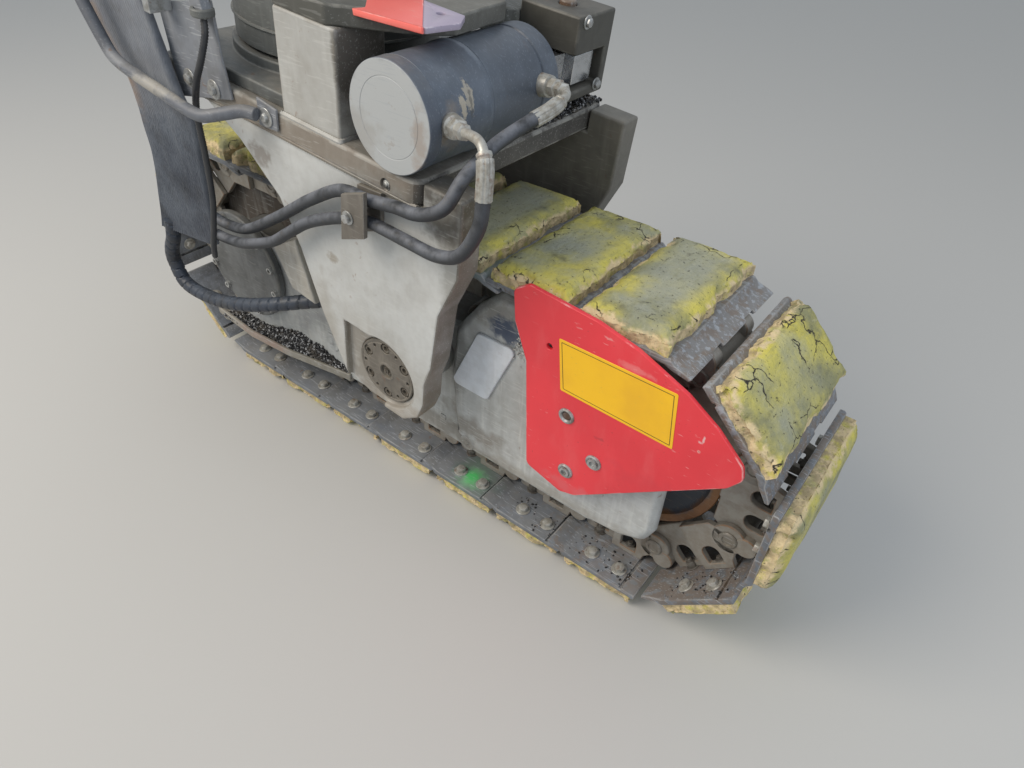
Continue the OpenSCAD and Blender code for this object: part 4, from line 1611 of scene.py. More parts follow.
@dataclass
class TrackFrame:
    """Side plates with their casings, the core between them, tray, cover plate and trunnion."""

    half: float = 0.112
    holes: tuple[tuple[float, float], ...] = ((0.157, 0.196), (-0.235, 0.395), (-0.330, 0.395))
    hole_r: float = 0.008
    shaft_ends: tuple[Point, ...] = ((0.191, 0.170, 0.018), (-0.100, 0.205, 0.024), (-0.240, 0.205, 0.024))
    square_at: tuple[float, float] = (0.105, 0.175)
    square_r: float = 0.0085

    def side(self, node: str, side: int, material: Material) -> None:
        """Builds one side plate with its small holes and the shaft end that shows in it.

        Args:
            node: The CAD node.
            side: -1 for the outer side, 1 for the machine side.
            material: Its finish.
        """
        shape = Shape()
        shape.cad(node)
        holes = Shape()
        for x, z in self.holes:
            ends = sorted((side * (self.half + 0.03), side * (self.half - 0.014)))
            holes.drum(self.hole_r, (x, ends[0], z), (x, ends[1], z), 20)
        shape.cut(holes)
        shape.round_edges(0.005, 3)
        shape.refill()
        spots = [(shape.surface(x, z, side), radius) for x, z, radius in self.shaft_ends]
        square = shape.surface(*self.square_at, side)
        turned = Matrix.Translation(square) @ Matrix.Rotation(math.radians(45), 4, "Y")
        shape.drum(self.square_r, (0.0, -0.0015, 0.0), (0.0, 0.0015, 0.0), 4, matrix=turned)
        for spot, radius in spots:
            end = shape.lathe([(0.0, -0.001), (radius, -0.001), (radius, 0.0015), (radius * 0.92, 0.003),
                               (radius * 0.66, 0.003), (radius * 0.60, 0.001), (radius * 0.3, 0.001),
                               (radius * 0.26, 0.0035), (0.0, 0.0035)],
                              Matrix.Translation(spot) @ Matrix.Diagonal((1.0, side, 1.0, 1.0)), 32)
            bmesh.ops.recalc_face_normals(shape.bm, faces=list({f for v in end for f in v.link_faces}))
        shape.finish(node + "_dressed", Body.TRACK, "frame_steel", material, (node,), crisp=True)

    def build(self, paint: Material) -> None:
        """Builds the frame's pieces.

        Args:
            paint: Finish of what doesn't have its own.
        """
        marks = (
            Mark((262, -130, 520), (70, 0, 34), "6f6a5e", 0.6, 1.0, 20.0, 0.9),
            Mark((288, -132, 492), (40, 0, 22), "2c3f5c", 0.85, 0.9, 12.0, 0.6),
            Mark((200, -136, 214), (80, 0, 24), "6f6556", 0.6, 1.0, 16.0, 0.9),
            Mark((380, -136, 168), (250, 0, 18), "8a8478", 0.55, 1.0, 20.0, 0.9),
            Mark((120, -118, 150), (150, 0, 26), "5f574b", 0.6, 1.0, 18.0, 0.9),
            Mark((160, -124, 380), (26, 0, 110), "5d5a54", 0.5, 1.0, 26.0, 0.9),
            # Painted shade over the side plate's left part.
            Mark((-430, -112, 290), (190, 0, 110), "4c5158", 0.5, 0.8, 40.0, 0.9))
        casing = WeatheredSteel(
            "casing_enamel", "b1b4b2", "bdc0bf", stain="78736a", rust="7b5a3c", chip="c0c1bd",
            pale="d0d2cd", runs=0.3, streaks=0.5, mottle=0.22, chipping=0.35, marks=marks).material()
        self.side("frame_side_outer", -1, casing)
        self.side("frame_side_inner", 1, casing)
        Dressed("frame_core", Body.TRACK, "frame_steel").build(paint)
        tray_marks = (Mark((-455, -158, 134), (95, 12, 12), "a08274", 0.6, 1.0, 14.0, 0.9),
                      Mark((-560, -130, 126), (120, 40, 0), "8d8880", 0.5, 1.0, 20.0, 0.9))
        tray = WeatheredSteel("tray_enamel", "87847b", "98948a", stain="5a5348", rust="8a5f45", stains=0.45,
                              chip="a5a29a", marks=tray_marks).material()
        Dressed("frame_ledge", Body.TRACK, "ledge_steel", 0.002).build(tray)
        cover = WeatheredSteel(
            "cover_enamel", "d6dce2", "e4e8ec", stain="a09f9a", pale="eef1f4", runs=0.2, rusting=0.2,
            chip="a9adb1", scratches=0.15).material()
        Dressed("frame_cover", Body.TRACK, "frame_steel", 0.002, 3).build(cover)
        Dressed("guard_spacers", Body.TRACK, "frame_steel", 0.002).build(paint)
        Dressed("trunnion_shaft", Body.TRACK, "frame_steel").build(paint)
        Dressed("trunnion_collars", Body.TRACK, "frame_steel").build(paint)


@dataclass
class Guard:
    """The red end guard with its blank yellow sign, two screws and one empty cup washer."""

    face: float = -0.168
    thick: float = 0.008
    bolts: tuple[tuple[float, float], ...] = ((0.435, 0.410), (0.496, 0.341), (0.445, 0.287))
    hole: tuple[float, float] = (0.390, 0.529)
    hole_r: float = 0.0055
    sign: tuple[tuple[float, float], ...] = ((0.407, 0.554), (0.610, 0.553), (0.620, 0.452), (0.418, 0.457))
    film: float = 0.0008
    margin: float = 0.0055
    line: float = 0.0011

    def plate(self) -> None:
        """Builds the red plate with its small hole."""
        shape = Shape()
        shape.cad("guard_plate")
        hole = Shape()
        x, z = self.hole
        hole.drum(self.hole_r, (x, self.face - 0.01, z), (x, self.face + self.thick + 0.01, z), 24)
        shape.cut(hole)
        shape.round_edges(0.0018, 2, 25.0)
        shape.refill()
        white = "e4dcd8"
        marks = (
            Mark((661, -168, 496), (1.6, 0, 6), white, 0.6, 1.2, 4.0, 0.8),
            Mark((657, -168, 489), (3.5, 0, 1.8), white, 0.5, 1.2, 4.0, 0.8),
            Mark((659, -168, 472), (2.4, 0, 2.4), "e9c3b8", 0.6, 0.5, 4.0, 0.8),
            Mark((659, -168, 472), (1.0, 0, 1.0), "a5343b", 0.7, 0.5, 4.0, 0.8),
            Mark((545, -168, 560), (26, 0, 5), "f0aaa6", 0.3, 1.4, 9.0, 0.9),
            Mark((500, -168, 398), (9, 0, 3), "8e2f38", 0.35, 1.3, 5.0, 0.9),
            Mark((480, -168, 250), (60, 0, 14), "c9767a", 0.35, 1.2, 12.0, 0.9),
            Mark((600, -168, 350), (60, 0, 22), "cf3a44", 0.35, 1.2, 14.0, 0.9))
        red = Enamel("guard_enamel", "ea3d46", "de3841", "eed0cb", chipping=0.45, marks=marks)
        shape.finish("guard_dressed", Body.TRACK, "guard_red", red.material(), ("guard_plate",), crisp=True)

    def label(self) -> None:
        """Builds the blank sign: a yellow film with a thin dark border line."""
        film = Shape()
        y = self.face
        film.plate(list(self.sign), y - self.film, y, None, 0.003)
        film.round_edges(0.0003, 1, 40.0)
        yellow = SignFilm("sign_vinyl", "fbc41c", "f0b722").material()
        film.finish("sign_film", Body.TRACK, "guard_red", yellow)
        mid_x, mid_z = (sum(places) / 4 for places in zip(*self.sign))
        inner = [(x - math.copysign(self.margin, x - mid_x), z - math.copysign(self.margin, z - mid_z))
                 for x, z in self.sign]
        border = Shape()
        for (x0, z0), (x1, z1) in zip(inner, inner[1:] + inner[:1]):
            start, end = Vector((x0, 0.0, z0)), Vector((x1, 0.0, z1))
            along = end - start
            turn = Matrix.Rotation(-math.atan2(along.z, along.x), 4, "Y")
            border.box(
                (0.0, y - self.film - 0.0002, -self.line / 2), (along.length, y - self.film, self.line / 2),
                Matrix.Translation(start) @ turn)
        dark = SignFilm("sign_border_ink", "6d5a1c", "54471c").material()
        border.finish("sign_border", Body.TRACK, "guard_red", dark)

    def screws(self, zinc: Material) -> None:
        """Adds two cup washers with socket screws, and one empty cup over the upper bolt.

        Args:
            zinc: Finish of washers and screws.
        """
        cups, heads = Shape(), Shape()
        for index, (x, z) in enumerate(self.bolts):
            place = outward((x, self.face, z))
            deep = index == 0
            floor = -0.0015 if deep else 0.001
            cup = Shape()
            cup.lathe([(0.0, floor), (0.0075, floor), (0.0105, 0.0032), (0.0125, 0.0038), (0.0145, 0.0022),
                       (0.015, 0.0), (0.0, 0.0)], None, 36)
            cups.stamp(cup, [place @ Matrix.Rotation(math.pi / 2, 4, "X")])
            if not deep:
                heads.stamp(
                    fastener(Head.SOCKET, 0.0092, 0.0055, 0.0),
                    [place @ Matrix.Translation((0, 0, 0.0006))])
        hollow = Shape()
        x, z = self.bolts[0]
        hollow.drum(0.0074, (x, self.face - 0.0012, z), (x, self.face - 0.0002, z), 24)
        cups.finish("guard_cup_washers", Body.TRACK, "zinc_steel", zinc)
        heads.finish("guard_screws", Body.TRACK, "zinc_steel", zinc)
        rust = WeatheredSteel("bare_bolt_rust", "5c4030", "4a342a", rust="8a5a34").material()
        hollow.finish("guard_bolt_end", Body.TRACK, "zinc_steel", rust)

    def build(self, zinc: Material) -> None:
        """Builds the guard and what is on it, with the finish of its screws."""
        self.plate()
        self.label()
        self.screws(zinc)


# Yoke


@dataclass
class YokeParts:
    """Legs, flanges, rib, saddle, swivel plate, post, upper plate and the red lug bracket."""

    leg_out: float = 0.240
    flange_r: float = 0.067
    flange_seat: float = 0.220
    flange_face: float = 0.231
    screw_ring: float = 0.0525
    screw_turn: float = math.radians(33)
    lug_z: float = 0.603
    lug_thick: float = 0.008
    lug_bend: float = 7.0

    def flange(self, side: int, paint: Material, zinc: Material) -> None:
        """Builds one trunnion flange: six counterbored screws, six small holes, a grease pocket.

        Args:
            side: -1 for the outer leg, 1 for the inner.
            paint: Finish of the flange.
            zinc: Finish of the screws.
        """
        face, seat, rim = self.flange_face, self.flange_seat, self.flange_r
        disc = Shape()
        profile = [
            (0.0, -seat), (rim, -seat), (rim, 0.0015 - face), (rim - 0.0015, -face), (0.0630, -face),
            (0.0622, 0.0010 - face), (0.0606, 0.0010 - face), (0.0598, -face), (0.0200, -face),
            (0.0190, -face - 0.0015), (0.0145, -face - 0.0015), (0.0130, 0.0050 - face),
            (0.0, 0.0050 - face)]
        disc.lathe(profile, None, 72)
        holes = Shape()
        places = []
        for k in range(6):
            turn = self.screw_turn + math.tau * k / 6
            x, z = self.screw_ring * math.cos(turn), self.screw_ring * math.sin(turn)
            holes.drum(0.0108, (x, -face - 0.01, z), (x, 0.0078 - face, z), 24)
            places.append(outward((x, 0.0078 - face, z)))
            turn += math.pi / 6
            x, z = self.screw_ring * 1.04 * math.cos(turn), self.screw_ring * 1.04 * math.sin(turn)
            holes.drum(0.0038, (x, -face - 0.01, z), (x, 0.006 - face, z), 14)
        disc.cut(holes)
        disc.round_edges(0.0006, 1, 50.0)
        node = "flange_outer" if side < 0 else "flange_inner"
        turned = YOKE.matrix() @ Matrix.Rotation(0.0 if side < 0 else math.pi, 4, "Z")
        whole = Shape()
        whole.stamp(disc, [turned])
        whole.finish(node + "_dressed", Body.YOKE, "yoke_steel", paint, (node,))
        screws = Shape()
        screws.stamp(fastener(Head.SOCKET, 0.0088, 0.0062, 0.0), [turned @ place for place in places])
        nipple = fastener(Head.NUT, 0.0062, 0.004, 1.5)
        screws.stamp(nipple, [turned @ outward((0.0, 0.0050 - face, 0.0))])
        screws.finish(node + "_screws", Body.YOKE, "zinc_steel", zinc)

    def flat(self, shape: Shape, outline: Outline, z0: float, z1: float, matrix: Matrix,
             corner: float) -> None:
        """Adds a flat plate from an outline in x and y, in millimetres, to a shape."""
        turned = matrix @ Matrix.Rotation(math.pi / 2, 4, "X")
        shape.plate([(x * MM, -y * MM) for x, y in outline], z0, z1, turned, corner)

    def lug(self) -> None:
        """Builds the lug bracket: a faded lilac-grey tab with a hole, and the red plate bent up from it."""
        place = YOKE.matrix() @ Matrix.Translation((0.0, 0.0, self.lug_z))
        tab = Shape()
        self.flat(
            tab, [(-23, -127), (55, -129), (74, -160), (62, -213), (52, -213)], 0.0, self.lug_thick, place,
            0.003)
        hole = Shape()
        hole.drum(0.0065, (0.032, -0.152, -0.01), (0.032, -0.152, 0.02), 24, matrix=place)
        tab.cut(hole)
        tab.round_edges(0.0014, 2)
        lilac = Enamel("lug_primer", "9d93a6", "aaa0b2", "d9d3da", chipping=0.7).material()
        tab.finish("lug_tab", Body.YOKE, "lug_red", lilac, ("lug_bracket",))
        slope = Shape()
        near, far = Vector((0.060, -0.215, 0.0)), Vector((-0.023, -0.126, 0.0))
        bent = place @ Matrix.Translation(near) @ Matrix.Rotation(
            math.radians(self.lug_bend), 4, near - far) @ Matrix.Translation(-near)
        self.flat(
            slope, [(-23, -126), (-70, -126), (-132, -214), (62, -217)], 0.0005, self.lug_thick + 0.0015,
            bent, 0.002)
        slope.round_edges(0.0014, 2)
        red = Enamel("lug_enamel", "ff8276", "f5736a", "f6c4ba", chipping=0.5).material()
        slope.finish("lug_plate", Body.YOKE, "lug_red", red)

    def saddle(self, paint: Material) -> None:
        """Builds the saddle plate with the small plugged hole in its front.

        Args:
            paint: Its finish.
        """
        shape = Shape()
        shape.cad("saddle_plate")
        hole = Shape()
        hole.drum(0.0105, (0.020, -0.26, 0.391), (0.020, -0.236, 0.391), 24, matrix=YOKE.matrix())
        shape.round_edges(0.006, 3)
        shape.refill()
        # The +X side is marked for painted shade.
        shape.mark_painted_shade(Vector((1.0, 0.0, 0.0)), 0.4)
        shape.cut(hole)
        half, low = self.leg_out + 0.001, 0.3775
        for side in (-1, 1):
            line = [YOKE.matrix() @ Vector((x, side * half, low)) for x in (-0.435, 0.080)]
            weld(shape, line, 0.0045)
        shape.finish("saddle_dressed", Body.YOKE, "yoke_steel", paint, ("saddle_plate",), crisp=True)
        plug = fastener(Head.NUT, 0.0075, 0.004, 1.3)
        broken = Shape()
        broken.stamp(plug, [on_yoke(20, -238, 391)])
        white = PlatedSteel("broken_plug", "c9cac6", "4c4b47", 0.6, 0.9, 0.1).material()
        broken.finish("saddle_plug", Body.YOKE, "zinc_steel", white)

    def build(self, dark: Material) -> None:
        """Builds the yoke's pieces.

        Args:
            dark: Finish of the swivel plate and king pin.
        """
        leg_marks = (
            Mark((-20, -240, -5), (125, 0, 100), "8f8676", 0.35, 0.9, 30.0, 1.2, True),
            Mark((40, -240, -72), (80, 0, 30), "8a7a64", 0.5, 1.0, 16.0, 1.0, True),
            Mark((-118, -240, 196), (12, 0, 9), "857863", 0.6, 1.3, 7.0, 0.9, True),
            Mark((-290, -240, 322), (28, 0, 18), "776c62", 0.6, 1.1, 9.0, 0.8, True),
            # Painted shade in the flange's recess.
            Mark((-50, -226, 10), (90, 9, 110), "6f6557", 0.6, 1.0, 22.0, 0.6, True),
            Mark((-60, -240, 180), (10, 0, 120), "bfc1bd", 0.3, 1.1, 22.0, 1.0, True),
            Mark((-150, -240, 60), (18, 0, 80), "8d8474", 0.35, 1.1, 22.0, 1.0, True),
            # Painted shade down the leg's +X side.
            Mark((150, 0, 300), (18, 0, 120), "6a6558", 0.5, 1.0, 22.0, 0.9, True),
            # Painted shade under the saddle's right end.
            Mark((128, -212, 402), (62, 44, 62), "4b463d", 0.85, 0.8, 18.0, 0.7, True),
            Mark((60, -240, 372), (90, 9, 14), "6a655a", 0.6, 1.0, 14.0, 0.9, True))
        # The turned colour paints shade on the leg's +X side faces.
        leg = WeatheredSteel(
            "leg_enamel", "bdbfbd", "c7c9c7", stain="7b7468", rust="7d5436", chip="7f7a70", pale="c9cac6",
            stains=0.25, runs=0.15, streaks=0.25, mottle=0.12, rusting=0.45, scratches=0.2, chipping=0.4,
            dusting=0.3, turned="665f53", marks=leg_marks).material()
        Dressed("leg_outer", Body.YOKE, "yoke_steel", 0.005, 3, (1.0, 0.0, 0.0)).build(leg)
        # The inner leg has the outer leg's paint, darkened as painted shade.
        inner = WeatheredSteel(
            "inner_leg_shaded_enamel", "66635b", "757168", stain="413d36", rust="6d4a30", chip="85827a",
            pale="8f8c83", stains=0.5).material()
        Dressed("leg_inner", Body.YOKE, "yoke_steel", 0.005, 3).build(inner)
        rib_marks = (Mark((-215, -232, 110), (16, 0, 60), "b9b4a8", 0.5, 1.0, 16.0, 0.9, True),)
        rib = WeatheredSteel("rib_enamel", "8e8c86", "9c9a93", stain="5f584c", marks=rib_marks).material()
        Dressed("leg_rib", Body.YOKE, "yoke_steel").build(rib)
        flange = WeatheredSteel(
            "flange_steel", "67625a", "746e64", stain="45403a", rust="7a563a", chip="8d867a", pale="8b857b",
            stains=0.4, mottle=0.35, roughness=0.45).material()
        oily = PlatedSteel("flange_screw_steel", "7b756b", "4a443c", 0.4, 0.9, 0.3).material()
        for side in (-1, 1):
            self.flange(side, flange, oily)
        saddle_marks = (
            Mark((-150, -246, 398), (320, 9, 30), "7d6f60", 0.5, 1.1, 22.0, 1.0, True),
            # Painted shade on the saddle's +X end.
            Mark((94, -40, 398), (12, 330, 45), "454340", 0.6, 0.5, 26.0, 0.6, True),
            Mark((45, 120, 420), (60, 150, 8), "4a4640", 0.6, 1.0, 20.0, 0.9, True))
        # The turned colour paints shade on the saddle's +X side.
        saddle = WeatheredSteel(
            "saddle_enamel", "8d8a83", "98958d", stain="5b5348", rust="7d5436", chip="b0aea6",
            pale="b9b8b1", dust="6a665e", stains=0.45, mottle=0.3, dusting=0.6, turned="3f3d3a",
            marks=saddle_marks).material()
        self.saddle(saddle)
        Dressed("swivel_plate", Body.YOKE, "yoke_steel").build(dark)
        Dressed("king_pin", Body.YOKE, "yoke_steel").build(dark)
        # The mark is painted shade on the post's +X side.
        post_marks = (Mark((-76, -190, 500), (9, 80, 120), "4d463c", 0.85, 0.6, 20.0, 0.7, True),)
        post = WeatheredSteel(
            "post_enamel", "aaaaa6", "b4b4af", stain="7c7467", rust="7d5436", chip="8a857b", pale="c4c4bf",
            stains=0.3, mottle=0.15, marks=post_marks).material()
        corners = ((-0.212, -0.241, 0.418), (-0.079, -0.241, 0.418), (-0.079, -0.144, 0.418))
        foot = [YOKE.matrix() @ Vector(corner) for corner in corners]
        Dressed("post", Body.YOKE, "yoke_steel", 0.005, 3).build(post, (foot,), 0.005)
        upper_marks = (Mark((0, -240, 589), (260, 60, 0), "45463f", 0.5, 1.0, 30.0, 1.0, True),)
        upper = WeatheredSteel(
            "upper_enamel", "5b5a55", "6b6a63", stain="3d3b36", rust="6d4a30", chip="8d8c84", pale="8b8c88",
            dust="77746a", stains=0.5, marks=upper_marks).material()
        Dressed("upper_plate", Body.YOKE, "yoke_steel", 0.004, 3).build(upper)
        self.lug()


# Column and cylinder


@dataclass
class Column:
    """The column's drum on its king pin, the steering arm and the rod's bracket."""

    back: float = 0.345
    radius: float = 0.178
    bead_z: tuple[float, float] = (0.500, 0.640)
    bolts: tuple[Point, ...] = ((0.0953, 0.178, 0.468), (0.0953, 0.118, 0.575))

    def build(self, dark: Material, zinc: Material) -> None:
        """Builds the column's pieces.

        Args:
            dark: Finish of the castings.
            zinc: Finish of the screws.
        """
        turned = upright((-self.back, 0.0, 0.0))
        beads = tuple(
            ring_line(Vector((0.0, z, 0.0)), self.radius + 0.0005, 72, turned) for z in self.bead_z)
        Dressed("column_drum", Body.HEAD, "column_steel").build(dark, beads, 0.003)
        arm = WeatheredSteel("arm_enamel", "565853", "63645e", stain="3d3a34", rust="6d4a30", chip="85837a",
                             dust="77746a", stains=0.5).material()
        Dressed("steering_arm", Body.HEAD, "column_steel", 0.004, 3).build(arm)
        block = WeatheredSteel(
            "bracket_enamel", "403f3b", "4c4b45", stain="2c2925", rust="75502f", chip="77746b",
            pale="6b6a63", dust="6f6b62", stains=0.4, rusting=0.6, streaks=0.08, scratches=0.1).material()
        Dressed("rod_bracket", Body.HEAD, "column_steel", 0.004, 3).build(block)
        pin = WeatheredSteel("rod_pin_steel", "7a6450", "6a4f3a", rust="8a5630", metallic=0.2).material()
        Dressed("rod_pin", Body.HEAD, "zinc_steel").build(pin)
        shape = Shape()
        places = [YOKE.matrix() @ about_y(math.pi / 2, bolt) for bolt in self.bolts]
        shape.stamp(fastener(Head.HEXAGON, 0.0075, 0.005, 1.4), places)
        shape.finish("bracket_bolts", Body.HEAD, "zinc_steel", zinc)


@dataclass
class Cylinder:
    """The steering cylinder: barrel with its weld ring, cap, cradle, rod and the two oil ports."""

    axis_x: float = 0.037
    axis_z: float = 0.497
    radius: float = 0.076
    inner: float = 0.040
    split: float = -0.231
    outer: float = -0.255
    port_near: tuple[Point, ...] = (
        (106, -211, 502), (151, -235, 514), (188, -250, 521), (209, -262, 513), (218, -268, 492),
        (222, -272, 460))
    port_far: tuple[Point, ...] = (
        (104, -7, 510), (136, -10, 515), (162, -22, 520), (176, -45, 521), (178, -80, 513),
        (171.5, -108, 504))

    def place(self) -> Matrix:
        """The cylinder's axis in the row frame."""
        return YOKE.matrix() @ Matrix.Translation((self.axis_x, 0.0, self.axis_z))

    def barrel(self) -> None:
        """Builds the barrel with its weld rings, and its cap."""
        r, inner, split = self.radius, self.inner, self.split
        barrel = Shape()
        profile = [
            (0.0, split), (r - 0.0015, split), (r, split + 0.0015), (r, -0.1370), (r + 0.0018, -0.1345),
            (r + 0.0018, -0.1255), (r, -0.1230), (r, -0.0070), (r - 0.0022, -0.0055),
            (r - 0.0022, -0.0025), (r, -0.0010), (r, inner - 0.008), (r - 0.004, inner - 0.001),
            (r - 0.010, inner), (0.0440, inner), (0.0420, inner - 0.004), (0.0345, inner - 0.004),
            (0.0320, inner - 0.009), (0.0, inner - 0.009)]
        barrel.lathe(profile, self.place(), 96)
        weld(barrel, ring_line(Vector((0.0, split, 0.0)), r - 0.0006, 72, self.place()), 0.0014)
        weld(barrel, ring_line(Vector((0.0, -0.1230, 0.0)), r + 0.0002, 72, self.place()), 0.0012)
        scrap = "b8ae9a"
        marks = (
            Mark((106, -187, 521), (11, 5.5, 16), scrap, 0.85, 1.3, 5.0, 0.4, True),
            Mark((103, -172, 527), (12, 6.5, 22), scrap, 0.7, 1.4, 5.0, 0.4, True),
            Mark((104, -170, 522), (12, 2.5, 20), "55544e", 0.6, 1.4, 5.0, 0.5, True),
            Mark((105, -216, 498), (22, 22, 26), "9b8b76", 0.45, 1.0, 12.0, 0.9, True),
            # Painted shadow of the upper plate over the barrel's far part.
            Mark((37, -30, 500), (120, 78, 120), "3b414a", 0.5, 0.5, 30.0, 0.8, True),
            Mark((0, -130, 573), (90, 4, 30), "9aa2ab", 0.35, 1.0, 14.0, 0.8, True))
        blue = WeatheredSteel(
            "cylinder_enamel", "4f5864", "606974", stain="3f4040", rust="7a5a40", chip="8c929a",
            pale="7f8894", dust="70747a", runs=0.1, streaks=0.15, rusting=0.25, scratches=0.35,
            roughness=0.42, marks=marks).material()
        barrel.finish(
            "cylinder_barrel_dressed", Body.YOKE, "cylinder_steel", blue, ("cylinder_barrel",), 40.0)
        cap = Shape()
        outer = self.outer
        profile = [
            (0.0, outer), (0.0535, outer), (0.0541, outer + 0.0006), (0.0549, outer + 0.0006),
            (0.0555, outer), (r - 0.0008, outer), (r + 0.0006, outer + 0.0012),
            (r + 0.0006, split - 0.0012), (r - 0.0005, split), (0.0, split)]
        cap.lathe(profile, self.place(), 96)
        cap_marks = (
            Mark((37, -257, 497), (110, 3.4, 110), "acafaf", 1.0, 0.1, 20.0, 0.2, True),
            Mark((-20, -255, 455), (34, 9, 30), "8b8479", 0.35, 1.2, 14.0, 1.0, True),
            Mark((95, -255, 480), (12, 6, 34), "8f7a68", 0.5, 1.2, 9.0, 0.9, True))
        pale = WeatheredSteel(
            "cap_enamel", "4f5764", "5e6670", stain="46484a", rust="7d6045", chip="84888d", pale="8f969e",
            stains=0.2, runs=0.1, streaks=0.1, mottle=0.15, rusting=0.3, scratches=0.2, chipping=0.6,
            marks=cap_marks).material()
        cap.finish("cylinder_cap_dressed", Body.YOKE, "cylinder_steel", pale, ("cylinder_cap",), 40.0)

    def port(self, shape: Shape, points: tuple[Point, ...], bend: float, crimp: float) -> None:
        """Adds one oil port: boss, two nuts, bent pipe and the hose's fluted ferrule.

        Args:
            shape: The mesh that it is added to.
            points: Its route in the yoke's frame, in millimetres.
            bend: Distance along it where the bare pipe starts.
            crimp: Distance along it where the ferrule starts.
        """
        line = smooth_route(YOKE.route(points), 0.0012)
        steps = ((bend * 0.48, 0.0120, False), (bend * 0.72, 0.0142, True), (bend * 0.78, 0.0100, False),
                 (bend, 0.0112, True), (crimp - 0.005, 0.0066, False), (crimp, 0.0104, False),
                 (crimp + 0.002, 0.0092, False))

        def hexagon(turn: float) -> float:
            """A hexagon's radius over its corners' radius."""
            return math.cos(math.pi / 6) / math.cos((turn * math.tau) % (math.pi / 3) - math.pi / 6)

        def radius(gone: float, turn: float) -> float:
            """The fitting's radius along its route.

            Args:
                gone: Distance along the route.
                turn: Part of a turn around it.

            Returns:
                The radius.
            """
            if gone < bend * 0.42:
                return 0.0175 - 0.004 * gone / bend
            for reach, size, is_nut in steps:
                if gone < reach:
                    return size * hexagon(turn) if is_nut else size
            return 0.0115 if (turn * 9) % 1.0 < 0.6 else 0.0105

        sweep(shape, line, radius, 54)

    def build(self) -> None:
        """Builds the cylinder's pieces."""
        self.barrel()
        dark = WeatheredSteel("cradle_enamel", "5f6266", "6d7074", stain="403e39").material()
        Dressed("cylinder_cradle", Body.YOKE, "cylinder_steel").build(dark)
        chrome = PlatedSteel("rod_chrome", "c4c6c8", "97999a", 0.2, 0.3, 0.08, 0.9).material()
        Dressed("piston_rod", Body.ROD, "rod_chrome", 0.002).build(chrome)
        fittings = Shape()
        self.port(fittings, self.port_near, 0.058, 0.122)
        self.port(fittings, self.port_far, 0.056, 0.105)
        old = PlatedSteel("fitting_zinc", "b6b5ae", "857e71", 0.42, 0.7, 0.4, 0.45).material()
        fittings.finish("port_fittings_dressed", Body.YOKE, "zinc_steel", old, ("port_fittings",))


# Hose guards


